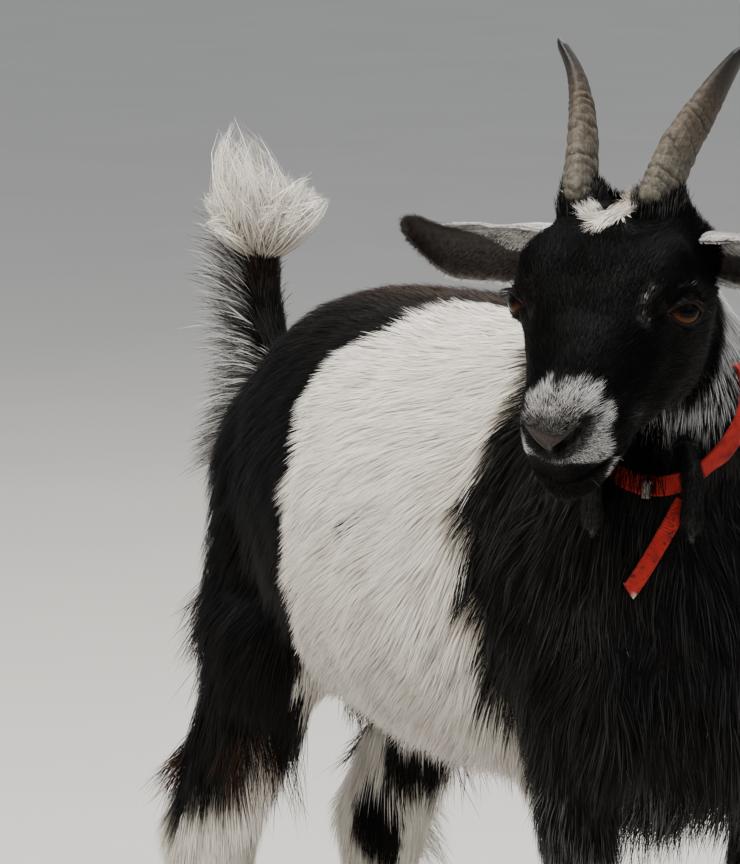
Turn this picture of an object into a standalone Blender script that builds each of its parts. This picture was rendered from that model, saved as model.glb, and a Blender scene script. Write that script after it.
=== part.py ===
"""A pygmy goat standing with its head turned to its right, at life size.

Metres, +Z up.  The goat faces +X, its right side is -Y, and it stands on z = 0.
The flesh is modelled whole, from lofts and ellipsoid masses that a voxel remesh
melts together, and is then parted by thin cuts into head, neck, trunk, tail and legs.
Horns, eyes, ears, hooves, wattles and the collar are solids of their own.
"""

import math

import bmesh
import bpy
from mathutils import Matrix, Vector

# ---- driving dimensions -------------------------------------------------------------
WITHERS = 0.545  # height of the back over the shoulders, to the tips of the coat
GAP = 0.0003  # clearance between neighbouring solids
CUT_REACH = 1.0  # how far a cutter runs past what it cuts
MELT_VOXEL = 0.0065  # remesh size that joins the masses of the flesh
FLESH_TRIANGLES = 3900  # budget of the whole flesh before it is parted
FOOTPRINT_CENTRE = Vector((0.0359, -0.0293, 0.0))  # this point is moved to the origin at the end

# the stance
FORE_X = 0.180  # where the forelegs stand
HIND_X = -0.228  # where the hind cannons stand
FORE_STRIDE = 0.009  # the right foreleg stands this much ahead, the left behind
FORE_Y = 0.073  # half the distance between the forelegs
HIND_Y = 0.068  # half the distance between the hind legs

# the head: its frame has x along the face to the nose, y to its left, z out of the forehead
HEAD_PLACE = Vector((0.2708, -0.1207, 0.560))  # the point between the eyes
HEAD_TURN = math.radians(-60)
HEAD_PITCH = math.radians(40)
HEAD_ROLL = math.radians(-1)
POLL_X = -0.085  # back of the head, in the head's frame
NOSE_X = 0.108  # tip of the nose
EYE_PLACE = Vector((0.002, 0.0455, 0.001))
EYE_RADIUS = 0.0130
HORN_ROOT = Vector((-0.058, 0.0250, 0.028))
HORNS_ASIDE = -0.002  # both horns grow this much to the right of the midline
HORN_WIDTH = 0.0094  # half width at the root, across the head
HORN_DEPTH = 0.0166  # half depth at the root, fore and aft
HORN_TOE_IN = math.radians(23)  # the front edges of the horns turn towards each other
EAR_ROOT = Vector((-0.056, 0.044, -0.008))
EAR_LENGTH = 0.120
EAR_WIDTH = 0.0245  # half width of the spread leaf
EAR_THICK = 0.0042

# the feet
CLAW_LENGTH = 0.046
CLAW_WIDTH = 0.0185
CLAW_CLEFT = 0.0022
CORONET = 0.027  # height of the hoof's top edge at its middle
CORONET_SLOPE = 0.28  # the toe is higher than the heel

COLLAR_WIDTH = 0.0125
COLLAR_THICK = 0.0026
COLLAR_CENTRE = Vector((0.213, -0.037, 0.531))
COLLAR_AXIS = Vector((0.70, -0.60, 0.38))  # square to the ring
COLLAR_DROP = 0.107  # the ring hangs no further than this below its centre
TONGUE_WIDTH = 0.0098  # the strap's loose end
TONGUE_FROM = Vector((0.250, -0.054, 0.4280))
TONGUE_TO = Vector((0.2294, -0.0766, 0.3790))
BUCKLE_AT = Vector((0.236, -0.068, 0.446))
BUCKLE_SIZE = (0.0075, 0.0155, 0.0032)  # along the strap, across it and through
BUCKLE_LIFT = 0.0008  # clear of the webbing, which turns a little under it


def head_matrix():
    """Places the head's frame in the goat's."""
    turn = Matrix.Rotation(HEAD_TURN, 4, "Z")
    pitch = Matrix.Rotation(HEAD_PITCH, 4, "Y")
    roll = Matrix.Rotation(HEAD_ROLL, 4, "X")
    return Matrix.Translation(HEAD_PLACE) @ turn @ pitch @ roll


HEAD = head_matrix()


# ---- small tools --------------------------------------------------------------------
def material(name, colour, roughness=0.7):
    made = bpy.data.materials.get(name) or bpy.data.materials.new(name)
    made.use_nodes = True
    shader = made.node_tree.nodes["Principled BSDF"]
    shader.inputs["Base Color"].default_value = (*colour, 1.0)
    shader.inputs["Roughness"].default_value = roughness
    return made


def collection(name):
    made = bpy.data.collections.new(name)
    bpy.context.scene.collection.children.link(made)
    return made


def new_object(name, mesh, group, finish=None):
    made = bpy.data.objects.new(name, mesh)
    group.objects.link(made)
    if finish:
        made.data.materials.clear()
        made.data.materials.append(finish)
    return made


def remove(*objects):
    for obj in objects:
        bpy.data.objects.remove(obj)


def as_helper(obj):
    obj.hide_render = True
    obj.display_type = "WIRE"
    return obj


def smooth_value(table, t):
    """Catmull-Rom through rows of numbers or vectors, t from 0 to 1 along the rows."""
    last = len(table) - 1
    at = min(max(t, 0.0), 1.0) * last
    i = min(int(at), last - 1)
    f = at - i
    p0, p1, p2, p3 = (table[max(i - 1, 0)], table[i], table[i + 1], table[min(i + 2, last)])
    return tuple(
        0.5 * (2 * b + (c - a) * f + (2 * a - 5 * b + 4 * c - d) * f * f + (3 * b - a - 3 * c + d) * f**3)
        for a, b, c, d in zip(p0, p1, p2, p3)
    )


def loft(name, group, stations, side_axis=(0, 1, 0), rings=24, around=20, squareness=2.0):
    """A closed body through stations of (x, y, z, half width, half depth).

    The width lies along side_axis and the depth square to it and to the path.
    """
    bm = bmesh.new()
    rows = []
    side = Vector(side_axis).normalized()
    for k in range(rings):
        t = k / (rings - 1)
        x, y, z, width, depth = smooth_value(stations, t)
        ahead = Vector(smooth_value(stations, min(t + 0.02, 1.0))[:3])
        behind = Vector(smooth_value(stations, max(t - 0.02, 0.0))[:3])
        along = (ahead - behind).normalized()
        up = along.cross(side).normalized()
        across = up.cross(along).normalized()
        row = []
        for n in range(around):
            a = 2 * math.pi * n / around
            c, s = math.cos(a), math.sin(a)
            reach = (abs(c) ** squareness + abs(s) ** squareness) ** (-1 / squareness)
            offset = across * (c * width * reach) + up * (s * depth * reach)
            row.append(bm.verts.new(Vector((x, y, z)) + offset))
        rows.append(row)
    for first, second in zip(rows, rows[1:]):
        for n in range(around):
            m = (n + 1) % around
            bm.faces.new((first[n], first[m], second[m], second[n]))
    bm.faces.new(rows[0][::-1])
    bm.faces.new(rows[-1])
    bmesh.ops.recalc_face_normals(bm, faces=bm.faces)
    mesh = bpy.data.meshes.new(name)
    bm.to_mesh(mesh)
    bm.free()
    return new_object(name, mesh, group)


def mass(name, group, centre, radii, turn=(0, 0, 0)):
    """An ellipsoid of muscle or bone, turned by degrees about X, Y, Z."""
    bpy.ops.mesh.primitive_uv_sphere_add(segments=32, ring_count=18, radius=1.0)
    made = bpy.context.object
    made.name = name
    turned = Matrix.Identity(4)
    for degrees, axis in zip(turn, "XYZ"):
        turned = Matrix.Rotation(math.radians(degrees), 4, axis) @ turned
    made.data.transform(Matrix.Translation(centre) @ turned @ Matrix.Diagonal((*radii, 1.0)))
    for owner in list(made.users_collection):
        owner.objects.unlink(made)
    group.objects.link(made)
    return made


def box(name, group, size, place):
    """A box of that size, its centre put at place, a matrix."""
    bm = bmesh.new()
    bmesh.ops.create_cube(bm, size=1.0, matrix=Matrix.Diagonal((*size, 1.0)))
    mesh = bpy.data.meshes.new(name)
    bm.to_mesh(mesh)
    bm.free()
    mesh.transform(place)
    return as_helper(new_object(name, mesh, group))


def half_space(name, group, point, normal, shift=0.0):
    """A big box whose one face passes through point; normal points into it."""
    n = Vector(normal).normalized()
    turn = n.to_track_quat("Z", "Y").to_matrix().to_4x4()
    centre = Vector(point) + n * (CUT_REACH / 2 + shift)
    return box(name, group, (2 * CUT_REACH, 2 * CUT_REACH, CUT_REACH), Matrix.Translation(centre) @ turn)


def evaluated_mesh(obj):
    graph = bpy.context.evaluated_depsgraph_get()
    return bpy.data.meshes.new_from_object(obj.evaluated_get(graph))


def boolean(obj, other, operation):
    """Applies one Boolean to obj."""
    step = obj.modifiers.new(operation.title(), "BOOLEAN")
    step.operation = operation
    step.object = other
    mesh = evaluated_mesh(obj)
    obj.modifiers.clear()
    old = obj.data
    obj.data = mesh
    bpy.data.meshes.remove(old)


def triangulate(obj):
    """Splits the faces once, so that a piece and the room cut for it bend along the same lines."""
    bm = bmesh.new()
    bm.from_mesh(obj.data)
    bmesh.ops.triangulate(bm, faces=bm.faces)
    bm.to_mesh(obj.data)
    bm.free()


def grown(obj, group, by):
    """A helper copy of obj, larger by a thin layer."""
    copy = new_object(obj.name + "_room", obj.data.copy(), group)
    bm = bmesh.new()
    bm.from_mesh(copy.data)
    bm.normal_update()
    for vert in bm.verts:
        vert.co += vert.normal * by
    bm.to_mesh(copy.data)
    bm.free()
    return as_helper(copy)


def in_head(*points):
    """Rows of (x, y, z, ...) from the head's frame to the goat's."""
    rows = []
    for row in points:
        rows.append((*(HEAD @ Vector(row[:3])), *row[3:]))
    return rows


def in_head_mass(name, group, centre, radii, turn=(0, 0, 0)):
    made = mass(name, group, Vector(centre), radii, turn)
    made.data.transform(HEAD)
    return made


# ---- the flesh ----------------------------------------------------------------------
def trunk_masses(group):
    # x, top of the back, underline, half width
    profile = (
        (-0.262, 0.430, 0.385, 0.020),
        (-0.250, 0.462, 0.345, 0.046),
        (-0.220, 0.486, 0.312, 0.068),
        (-0.175, 0.506, 0.288, 0.084),
        (-0.115, 0.533, 0.271, 0.108),
        (-0.040, 0.5365, 0.258, 0.132),
        (0.030, 0.534, 0.246, 0.139),
        (0.095, 0.541, 0.240, 0.127),
        (0.150, WITHERS, 0.220, 0.106),
        (0.200, 0.520, 0.214, 0.088),
        (0.245, 0.465, 0.243, 0.060),
        (0.270, 0.410, 0.315, 0.024),
    )
    stations = [
        (x, 0.0, (top + low) / 2, width, (top - low) / 2) for x, top, low, width in profile
    ]
    loft("barrel", group, stations, rings=40, around=32, squareness=2.15)


def shoulder_and_foreleg(group, side):
    x, y = FORE_X - side * FORE_STRIDE, side * FORE_Y
    mass(f"shoulder_{side}", group, (0.166, side * 0.070, 0.415), (0.055, 0.040, 0.105), (side * 10, 18, 0))
    mass(f"upper_arm_{side}", group, (x + 0.010, side * 0.076, 0.330), (0.046, 0.036, 0.070), (0, -20, 0))
    mass(f"elbow_{side}", group, (x - 0.014, side * 0.083, 0.282), (0.026, 0.024, 0.034))
    stations = (
        (x + 0.000, side * 0.080, 0.330, 0.033, 0.044),
        (x - 0.002, side * 0.080, 0.280, 0.029, 0.037),
        (x + 0.000, side * 0.077, 0.225, 0.0235, 0.0265),
        (x + 0.002, side * 0.075, 0.185, 0.0215, 0.0235),
        (x + 0.003, y, 0.162, 0.0225, 0.0245),
        (x, y, 0.138, 0.0200, 0.0215),
        (x - 0.002, y, 0.105, 0.0165, 0.0180),
        (x - 0.001, y, 0.072, 0.0172, 0.0192),
        (x + 0.001, y, 0.054, 0.0205, 0.0215),
        (x + 0.008, y, 0.036, 0.0190, 0.0190),
        (x + 0.014, y, 0.020, 0.0185, 0.0200),
    )
    loft(f"foreleg_{side}", group, stations, rings=40)


def thigh_and_hindleg(group, side):
    y = side * HIND_Y
    mass(f"rump_{side}", group, (-0.155, side * 0.044, 0.410), (0.074, 0.042, 0.080), (0, 20, 0))
    mass(f"thigh_{side}", group, (-0.166, side * 0.055, 0.345), (0.064, 0.038, 0.095), (0, 10, 0))
    mass(f"stifle_{side}", group, (-0.128, side * 0.078, 0.295), (0.038, 0.032, 0.050), (0, 30, 0))
    stations = (
        (-0.150, side * 0.072, 0.330, 0.034, 0.060),
        (-0.164, side * 0.072, 0.272, 0.032, 0.052),
        (-0.190, side * 0.071, 0.228, 0.0275, 0.041),
        (-0.211, side * 0.070, 0.192, 0.0255, 0.038),
        (HIND_X + 0.004, side * 0.069, 0.164, 0.0260, 0.043),
        (HIND_X - 0.000, y, 0.137, 0.0230, 0.033),
        (HIND_X - 0.002, y, 0.108, 0.0180, 0.0215),
        (HIND_X, y, 0.078, 0.0180, 0.0200),
        (HIND_X + 0.003, y, 0.056, 0.0205, 0.0215),
        (HIND_X + 0.012, y, 0.037, 0.0190, 0.0190),
        (HIND_X + 0.019, y, 0.020, 0.0185, 0.0200),
    )
    loft(f"hindleg_{side}", group, stations, rings=42)
    hock = (HIND_X - 0.026, side * 0.069, 0.166)
    mass(f"hock_{side}", group, hock, (0.017, 0.017, 0.024), (0, 25, 0))


def neck_masses(group):
    stations = (
        (0.090, 0.000, 0.415, 0.082, 0.105),
        (0.150, -0.002, 0.450, 0.073, 0.100),
        (0.185, -0.010, 0.492, 0.064, 0.082),
        (0.206, -0.036, 0.535, 0.0445, 0.064),
        (0.224, -0.060, 0.566, 0.037, 0.050),
        (0.236, -0.076, 0.585, 0.034, 0.036),
    )
    loft("neck", group, stations, side_axis=(0.45, 1, 0), rings=24, around=28)
    mass("dewlap", group, (0.222, -0.012, 0.405), (0.045, 0.050, 0.090), (0, -18, 0))


def head_masses(group):
    # x along the face, top of the face, bottom, half width
    profile = (
        (POLL_X - 0.002, 0.002, -0.030, 0.020),
        (-0.078, 0.014, -0.050, 0.034),
        (-0.060, 0.0260, -0.066, 0.0455),
        (-0.035, 0.0345, -0.073, 0.049),
        (-0.008, 0.0360, -0.072, 0.051),
        (0.018, 0.0300, -0.068, 0.0475),
        (0.042, 0.0240, -0.062, 0.0395),
        (0.064, 0.0205, -0.058, 0.0315),
        (0.084, 0.0180, -0.060, 0.0285),
        (0.099, 0.0120, -0.056, 0.0235),
        (NOSE_X, 0.000, -0.040, 0.017),
    )
    stations = [
        (x, 0.0, (top + low) / 2, width, (top - low) / 2) for x, top, low, width in profile
    ]
    left = HEAD.to_3x3() @ Vector((0, 1, 0))
    loft("skull", group, in_head(*stations), side_axis=left, rings=40, around=28, squareness=2.3)
    for side in (-1, 1):
        in_head_mass(f"orbit_{side}", group, (-0.005, side * 0.040, 0.009), (0.027, 0.0165, 0.020))
        in_head_mass(f"brow_{side}", group, (-0.012, side * 0.037, 0.024), (0.026, 0.016, 0.011))
        in_head_mass(f"cheek_{side}", group, (-0.012, side * 0.029, -0.042), (0.046, 0.016, 0.034))
        in_head_mass(f"lip_{side}", group, (0.079, side * 0.0170, -0.022), (0.021, 0.0165, 0.018))
        in_head_mass(f"horn_seat_{side}", group, (-0.058, side * 0.024, 0.017), (0.019, 0.016, 0.015))
        in_head_mass(f"ear_seat_{side}", group, (-0.055, side * 0.038, -0.007), (0.018, 0.014, 0.019))
    in_head_mass("chin", group, (0.087, -0.009, -0.056), (0.020, 0.0190, 0.014))
    in_head_mass("nose", group, (0.096, -0.002, -0.001), (0.015, 0.019, 0.014))


def tail_masses(group):
    dock = (
        (-0.232, 0.0, 0.440, 0.024, 0.022),
        (-0.251, 0.0, 0.473, 0.019, 0.019),
        (-0.262, 0.0, 0.508, 0.018, 0.018),
        (-0.265, 0.0, 0.538, 0.022, 0.019),
        (-0.266, 0.0, 0.556, 0.024, 0.018),
    )
    loft("dock", group, dock, rings=16)
    fan = (
        (-0.265, 0.0, 0.534, 0.022, 0.018),
        (-0.267, 0.0, 0.556, 0.036, 0.025),
        (-0.268, 0.0, 0.582, 0.042, 0.028),
        (-0.268, 0.0, 0.606, 0.035, 0.023),
        (-0.268, 0.0, 0.628, 0.016, 0.011),
    )
    loft("fan", group, fan, rings=16)
    fringe = (
        (-0.262, 0.0, 0.420, 0.022, 0.016),
        (-0.280, 0.0, 0.455, 0.030, 0.022),
        (-0.290, 0.0, 0.495, 0.031, 0.022),
        (-0.288, 0.0, 0.530, 0.029, 0.020),
        (-0.280, 0.0, 0.560, 0.024, 0.016),
    )
    loft("fringe", group, fringe, rings=14)


def melted_flesh(group):
    """One closed skin round all the masses, smoothed and brought to its triangle budget."""
    pieces = collection("masses")
    trunk_masses(pieces)
    neck_masses(pieces)
    head_masses(pieces)
    tail_masses(pieces)
    mass("sheath", pieces, (-0.085, 0.0, 0.262), (0.030, 0.014, 0.016), (0, 10, 0))
    for side in (-1, 1):
        shoulder_and_foreleg(pieces, side)
        thigh_and_hindleg(pieces, side)
    bm = bmesh.new()
    for piece in pieces.objects:
        bm.from_mesh(piece.data)
    mesh = bpy.data.meshes.new("flesh")
    bm.to_mesh(mesh)
    bm.free()
    flesh = as_helper(new_object("flesh", mesh, group))
    remove(*pieces.objects)
    melt = flesh.modifiers.new("Melt", "REMESH")
    melt.mode = "VOXEL"
    melt.voxel_size = MELT_VOXEL
    soften = flesh.modifiers.new("Soften", "SMOOTH")
    soften.factor = 0.5
    soften.iterations = 9
    whole = evaluated_mesh(flesh)
    whole.calc_loop_triangles()
    flesh.modifiers.new("Triangles", "TRIANGULATE")
    fewer = flesh.modifiers.new("Fewer", "DECIMATE")
    fewer.ratio = min(1.0, FLESH_TRIANGLES / len(whole.loop_triangles))
    bpy.data.meshes.remove(whole)
    mesh = evaluated_mesh(flesh)
    flesh.modifiers.clear()
    flesh.data = mesh
    return flesh


# ---- parting the flesh --------------------------------------------------------------
def wedge(name, group, planes):
    """A helper solid: what lies inside every one of these half spaces of (point, normal, shift)."""
    first, *others = planes
    made = half_space(name, group, *first)
    for point, normal, shift in others:
        cutter = half_space(name + "_side", group, point, normal, shift)
        boolean(made, cutter, "INTERSECT")
        remove(cutter)
    return made


def limb_planes(side):
    """The planes that bound each limb's region, as point and inward normal."""
    return {
        "foreleg": (
            ((0.0, side * 0.056, 0.226), (0, side * 0.34, -0.94)),
            ((0.0, side * 0.043, 0.0), (0, side, 0)),
            ((0.115, 0.0, 0.0), (1, 0, 0)),
        ),
        "hindleg": (
            ((-0.140, side * 0.040, 0.262), (-0.16, side * 0.50, -0.85)),
            ((-0.078, 0.0, 0.0), (-1, 0, 0)),
            ((0.0, side * 0.014, 0.0), (0, side, 0)),
        ),
    }


def cut_region(flesh, name, planes, group, parts, finish):
    """Moves what lies inside the planes from the flesh to a node of its own."""
    inner = wedge("inner", group, [(p, n, GAP / 2) for p, n in planes])
    outer = wedge("outer", group, [(p, n, -GAP / 2) for p, n in planes])
    piece = new_object(name, flesh.data.copy(), parts, finish)
    boolean(piece, inner, "INTERSECT")
    boolean(flesh, outer, "DIFFERENCE")
    remove(inner, outer)
    return piece


def parted_flesh(flesh, helpers, parts, coat):
    """Cuts the flesh into its named nodes with thin plane cuts."""
    made = {}
    turn = HEAD.to_3x3()
    head = (
        (HEAD @ Vector((-0.088, 0.0, -0.008)), turn @ Vector((0.80, 0.0, 0.60))),
        (HEAD @ Vector((0.0, 0.0, -0.083)), turn @ Vector((0, 0, 1))),
    )
    made["head"] = cut_region(flesh, "head", head, helpers, parts, coat)
    for side, word in ((-1, "right"), (1, "left")):
        for limb, planes in limb_planes(side).items():
            name = f"{limb}_{word}"
            made[name] = cut_region(flesh, name, planes, helpers, parts, coat)
    tail = (((-0.238, 0.0, 0.470), (-0.95, 0, 0.31)),)
    made["tail"] = cut_region(flesh, "tail", tail, helpers, parts, coat)
    neck = (((0.150, 0.0, 0.455), (0.72, -0.10, 0.68)),)
    made["neck"] = cut_region(flesh, "neck", neck, helpers, parts, coat)
    made["trunk"] = new_object("trunk", flesh.data.copy(), parts, coat)
    return made


# ---- horns, eyes, ears, wattles -----------------------------------------------------
def horn(name, parts, side, finish):
    """A scimitar that runs back in line with the face and turns out at its tip."""
    path = (
        (0.010, -0.001, -0.014, 1.00),
        (0.000, 0.000, 0.000, 1.00),
        (-0.029, 0.0025, 0.0105, 0.90),
        (-0.058, 0.0098, 0.0175, 0.66),
        (-0.078, 0.0202, 0.0260, 0.42),
        (-0.092, 0.0326, 0.0372, 0.12),
    )
    rows = []
    for x, y, z, size in path:
        place = HORN_ROOT + Vector((x, y, z))
        y = side * place.y + HORNS_ASIDE
        rows.append((place.x, y, place.z, HORN_WIDTH * size, HORN_DEPTH * size))
    across = HEAD.to_3x3() @ Vector((math.sin(HORN_TOE_IN), side * math.cos(HORN_TOE_IN), 0))
    made = loft(name, parts, in_head(*rows), side_axis=across, rings=11, around=10)
    made.data.materials.append(finish)
    made.data.shade_smooth()
    return made


def eye(name, parts, side, finish):
    place = HEAD @ Vector((EYE_PLACE.x, side * EYE_PLACE.y, EYE_PLACE.z))
    bpy.ops.mesh.primitive_uv_sphere_add(segments=14, ring_count=8, radius=EYE_RADIUS)
    made = bpy.context.object
    made.data.transform(Matrix.Translation(place))
    made.location = (0, 0, 0)
    made.name = name
    for owner in list(made.users_collection):
        owner.objects.unlink(made)
    parts.objects.link(made)
    made.data.materials.append(finish)
    made.data.shade_smooth()
    return made


def ear_half_width(t):
    """Half width of the ear's leaf, from its root at 0 to its tip at 1."""
    shares = ((0.44,), (0.56,), (0.84,), (1.0,), (0.86,), (0.15,))
    return EAR_WIDTH * smooth_value(shares, t)[0]


def ear_curl(t):
    """Half the angle that the ear's section is rolled through."""
    return math.radians(112 - 60 * min(1.0, t * 1.8))


def ear(name, parts, side, finish):
    """A leaf rolled to a tube at its root, opening forwards and down, held out level."""
    along = Vector((0.05, side * 0.99, 0.0)).normalized()
    opening = Vector((0.95, side * 0.10, 0.08))
    opening = (opening - along * opening.dot(along)).normalized()
    across = opening.cross(along).normalized()
    upward = across * side
    steps, spread = 12, 6
    bm = bmesh.new()
    rows = []
    for i in range(steps + 1):
        t = i / steps
        width, curl = ear_half_width(t), ear_curl(t)
        radius = width / min(1.0, math.sin(min(curl, math.pi / 2)))
        sag = 0.011 * t * t - 0.018 * math.sin(math.pi * t**1.3)
        middle = Vector((EAR_ROOT.x, side * EAR_ROOT.y, EAR_ROOT.z))
        middle += along * (t * EAR_LENGTH - 0.012) + upward * sag
        row = []
        for j in range(spread + 1):
            a = curl * (2 * j / spread - 1)
            place = middle + across * (radius * math.sin(a)) + opening * (radius * (0.5 - math.cos(a)))
            row.append(bm.verts.new(HEAD @ place))
        rows.append(row)
    for first, second in zip(rows, rows[1:]):
        for j in range(spread):
            bm.faces.new((first[j], first[j + 1], second[j + 1], second[j]))
    bmesh.ops.recalc_face_normals(bm, faces=bm.faces)
    mesh = bpy.data.meshes.new(name)
    bm.to_mesh(mesh)
    bm.free()
    made = new_object(name, mesh, parts)
    wall = made.modifiers.new("Wall", "SOLIDIFY")
    wall.thickness = EAR_THICK
    wall.offset = 0
    wall.use_even_offset = False
    made.data = evaluated_mesh(made)
    made.modifiers.clear()
    made.data.materials.append(finish)
    return made


def wattle(name, parts, root, out, finish):
    """A finger of skin that hangs from the throat; out is square to the coat there."""
    root, out = Vector(root), Vector(out).normalized()
    hang = []
    for reach, drop, radius in (
        (-0.013, -0.018, 0.0072),
        (0.003, -0.011, 0.0078),
        (0.0135, 0.003, 0.0084),
        (0.0155, 0.021, 0.0090),
        (0.0150, 0.038, 0.0098),
        (0.0145, 0.049, 0.0050),
    ):
        place = root + out * reach
        hang.append((place.x, place.y, place.z - drop, radius, radius))
    made = loft(name, parts, hang, side_axis=out.cross(Vector((0, 0, 1))), rings=9, around=8)
    made.data.materials.append(finish)
    return made


# ---- feet ---------------------------------------------------------------------------
def claw(name, parts, x, y, inner, finish):
    """One half of a hoof: flat sole on the floor, sloping top, its inner wall flattened."""
    bm = bmesh.new()
    bmesh.ops.create_cone(bm, cap_ends=True, segments=18, radius1=1.0, radius2=0.86, depth=1.0)
    for vert in bm.verts:
        top = vert.co.z > 0
        px = vert.co.x * CLAW_LENGTH / 2
        py = vert.co.y * CLAW_WIDTH / 2
        if vert.co.x > 0:
            py *= 1 - 0.38 * vert.co.x**2
        py = py * 0.45 if py * inner > 0 else py
        px -= 0.007 if top else 0.0
        height = CORONET + CORONET_SLOPE * px - GAP / 2
        vert.co = Vector((x + 0.006 + px, y + py, height if top else 0.0))
    bmesh.ops.recalc_face_normals(bm, faces=bm.faces)
    mesh = bpy.data.meshes.new(name)
    bm.to_mesh(mesh)
    bm.free()
    return new_object(name, mesh, parts, finish)


def foot_places():
    """Limb name, side, word and where its hoof's middle and its cannon stand."""
    for side, word in ((-1, "right"), (1, "left")):
        x = FORE_X - side * FORE_STRIDE
        yield "foreleg", side, word, x + 0.012, x, FORE_Y
        yield "hindleg", side, word, HIND_X + 0.017, HIND_X + 0.003, HIND_Y


def feet(parts, helpers, body, finish):
    for limb, side, word, hoof_x, cannon_x, foot_y in foot_places():
        leg = body[f"{limb}_{word}"]
        point = (hoof_x + 0.006, 0, CORONET)
        cut = half_space("coronet", helpers, point, (-CORONET_SLOPE, 0, 1), GAP / 2)
        boolean(leg, cut, "INTERSECT")
        remove(cut)
        offset = CLAW_WIDTH * 0.25 + CLAW_CLEFT / 2
        for half, which in ((1, "outer"), (-1, "inner")):
            name = f"hoof_{limb[:4]}_{word}_{which}"
            claw(name, parts, hoof_x, side * (foot_y + half * offset), -half * side, finish)
            name = f"dewclaw_{limb[:4]}_{word}_{which}"
            place = Vector((cannon_x - 0.019, side * (foot_y + half * 0.0095), 0.047))
            spur(name, parts, helpers, leg, place, finish)


def spur(name, parts, helpers, leg, place, finish):
    """A dewclaw: a short blunt cone behind the fetlock, set into the leg."""
    bm = bmesh.new()
    bmesh.ops.create_cone(bm, cap_ends=True, segments=7, radius1=0.0060, radius2=0.0036, depth=0.013)
    tilt = Matrix.Rotation(math.radians(-128), 4, "Y")
    bmesh.ops.transform(bm, verts=bm.verts, matrix=Matrix.Translation(place) @ tilt)
    mesh = bpy.data.meshes.new(name)
    bm.to_mesh(mesh)
    bm.free()
    made = new_object(name, mesh, parts, finish)
    room = grown(made, helpers, GAP)
    boolean(leg, room, "DIFFERENCE")
    remove(room)


# ---- the collar ---------------------------------------------------------------------
def strap(name, parts, path, outward, width, thick, closed, finish):
    """A flat band along path; outward gives the direction that its face looks at each point."""
    bm = bmesh.new()
    rows = []
    count = len(path)
    for i, place in enumerate(path):
        ahead = path[(i + 1) % count] if closed or i + 1 < count else place
        behind = path[i - 1] if closed or i > 0 else place
        along = (ahead - behind).normalized()
        face = (outward[i] - along * outward[i].dot(along)).normalized()
        edge = along.cross(face)
        row = []
        for w, t in ((-1, 0), (1, 0), (1, 1), (-1, 1)):
            row.append(bm.verts.new(place + edge * (w * width / 2) + face * (t * thick)))
        rows.append(row)
    pairs = list(zip(rows, rows[1:] + rows[:1])) if closed else list(zip(rows, rows[1:]))
    for first, second in pairs:
        for j in range(4):
            k = (j + 1) % 4
            bm.faces.new((first[j], first[k], second[k], second[j]))
    if not closed:
        bm.faces.new(rows[0][::-1])
        bm.faces.new(rows[-1])
    bmesh.ops.recalc_face_normals(bm, faces=bm.faces)
    mesh = bpy.data.meshes.new(name)
    bm.to_mesh(mesh)
    bm.free()
    return new_object(name, mesh, parts, finish)


def evened(rows, passes):
    """A closed run of vectors, each drawn towards its neighbours."""
    for _ in range(passes):
        rows = [(rows[i - 1] + rows[i] * 2 + rows[(i + 1) % len(rows)]) / 4 for i in range(len(rows))]
    return rows


def collar_path(flesh):
    """Points round the neck on the coat, and the way the strap faces at each."""
    axis = COLLAR_AXIS.normalized()
    throat = Vector((0.87, -0.50, 0.0))
    front = (throat - axis * axis.dot(throat)).normalized()
    leftward = axis.cross(front)
    count = 36
    places, faces = [], []
    for i in range(count):
        a = 2 * math.pi * i / count
        ray = front * math.cos(a) + leftward * math.sin(a)
        _, place, normal, _ = flesh.ray_cast(COLLAR_CENTRE, ray)
        if (place - COLLAR_CENTRE).length > COLLAR_DROP:
            start = COLLAR_CENTRE + ray * COLLAR_DROP
            _, place, normal, _ = flesh.ray_cast(start, throat)
        places.append(place)
        faces.append(normal)
    places = evened(places, 5)
    faces = [face.normalized() for face in evened(faces, 8)]
    return lifted(flesh, places, faces, 0.0010), faces


def lifted(flesh, places, faces, by):
    """The places moved out along their faces to lie clear of the coat."""
    clear = []
    for place, face in zip(places, faces):
        hit, ground, _, _ = flesh.ray_cast(place + face * 0.03, -face, distance=0.05)
        reach = (ground - place).dot(face) if hit else 0.0
        clear.append(place + face * (max(reach, 0.0) + by))
    return clear


def plate(name, parts, place, along, face, size, finish):
    """A small block on the strap: size is along it, across it and through it."""
    bm = bmesh.new()
    bmesh.ops.create_cube(bm, size=1.0, matrix=Matrix.Diagonal((*size, 1.0)))
    face = (face - along * face.dot(along)).normalized()
    turn = Matrix((along, face.cross(along), face)).transposed().to_4x4()
    bmesh.ops.transform(bm, verts=bm.verts, matrix=Matrix.Translation(place) @ turn)
    mesh = bpy.data.meshes.new(name)
    bm.to_mesh(mesh)
    bm.free()
    return new_object(name, mesh, parts, finish)


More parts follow.
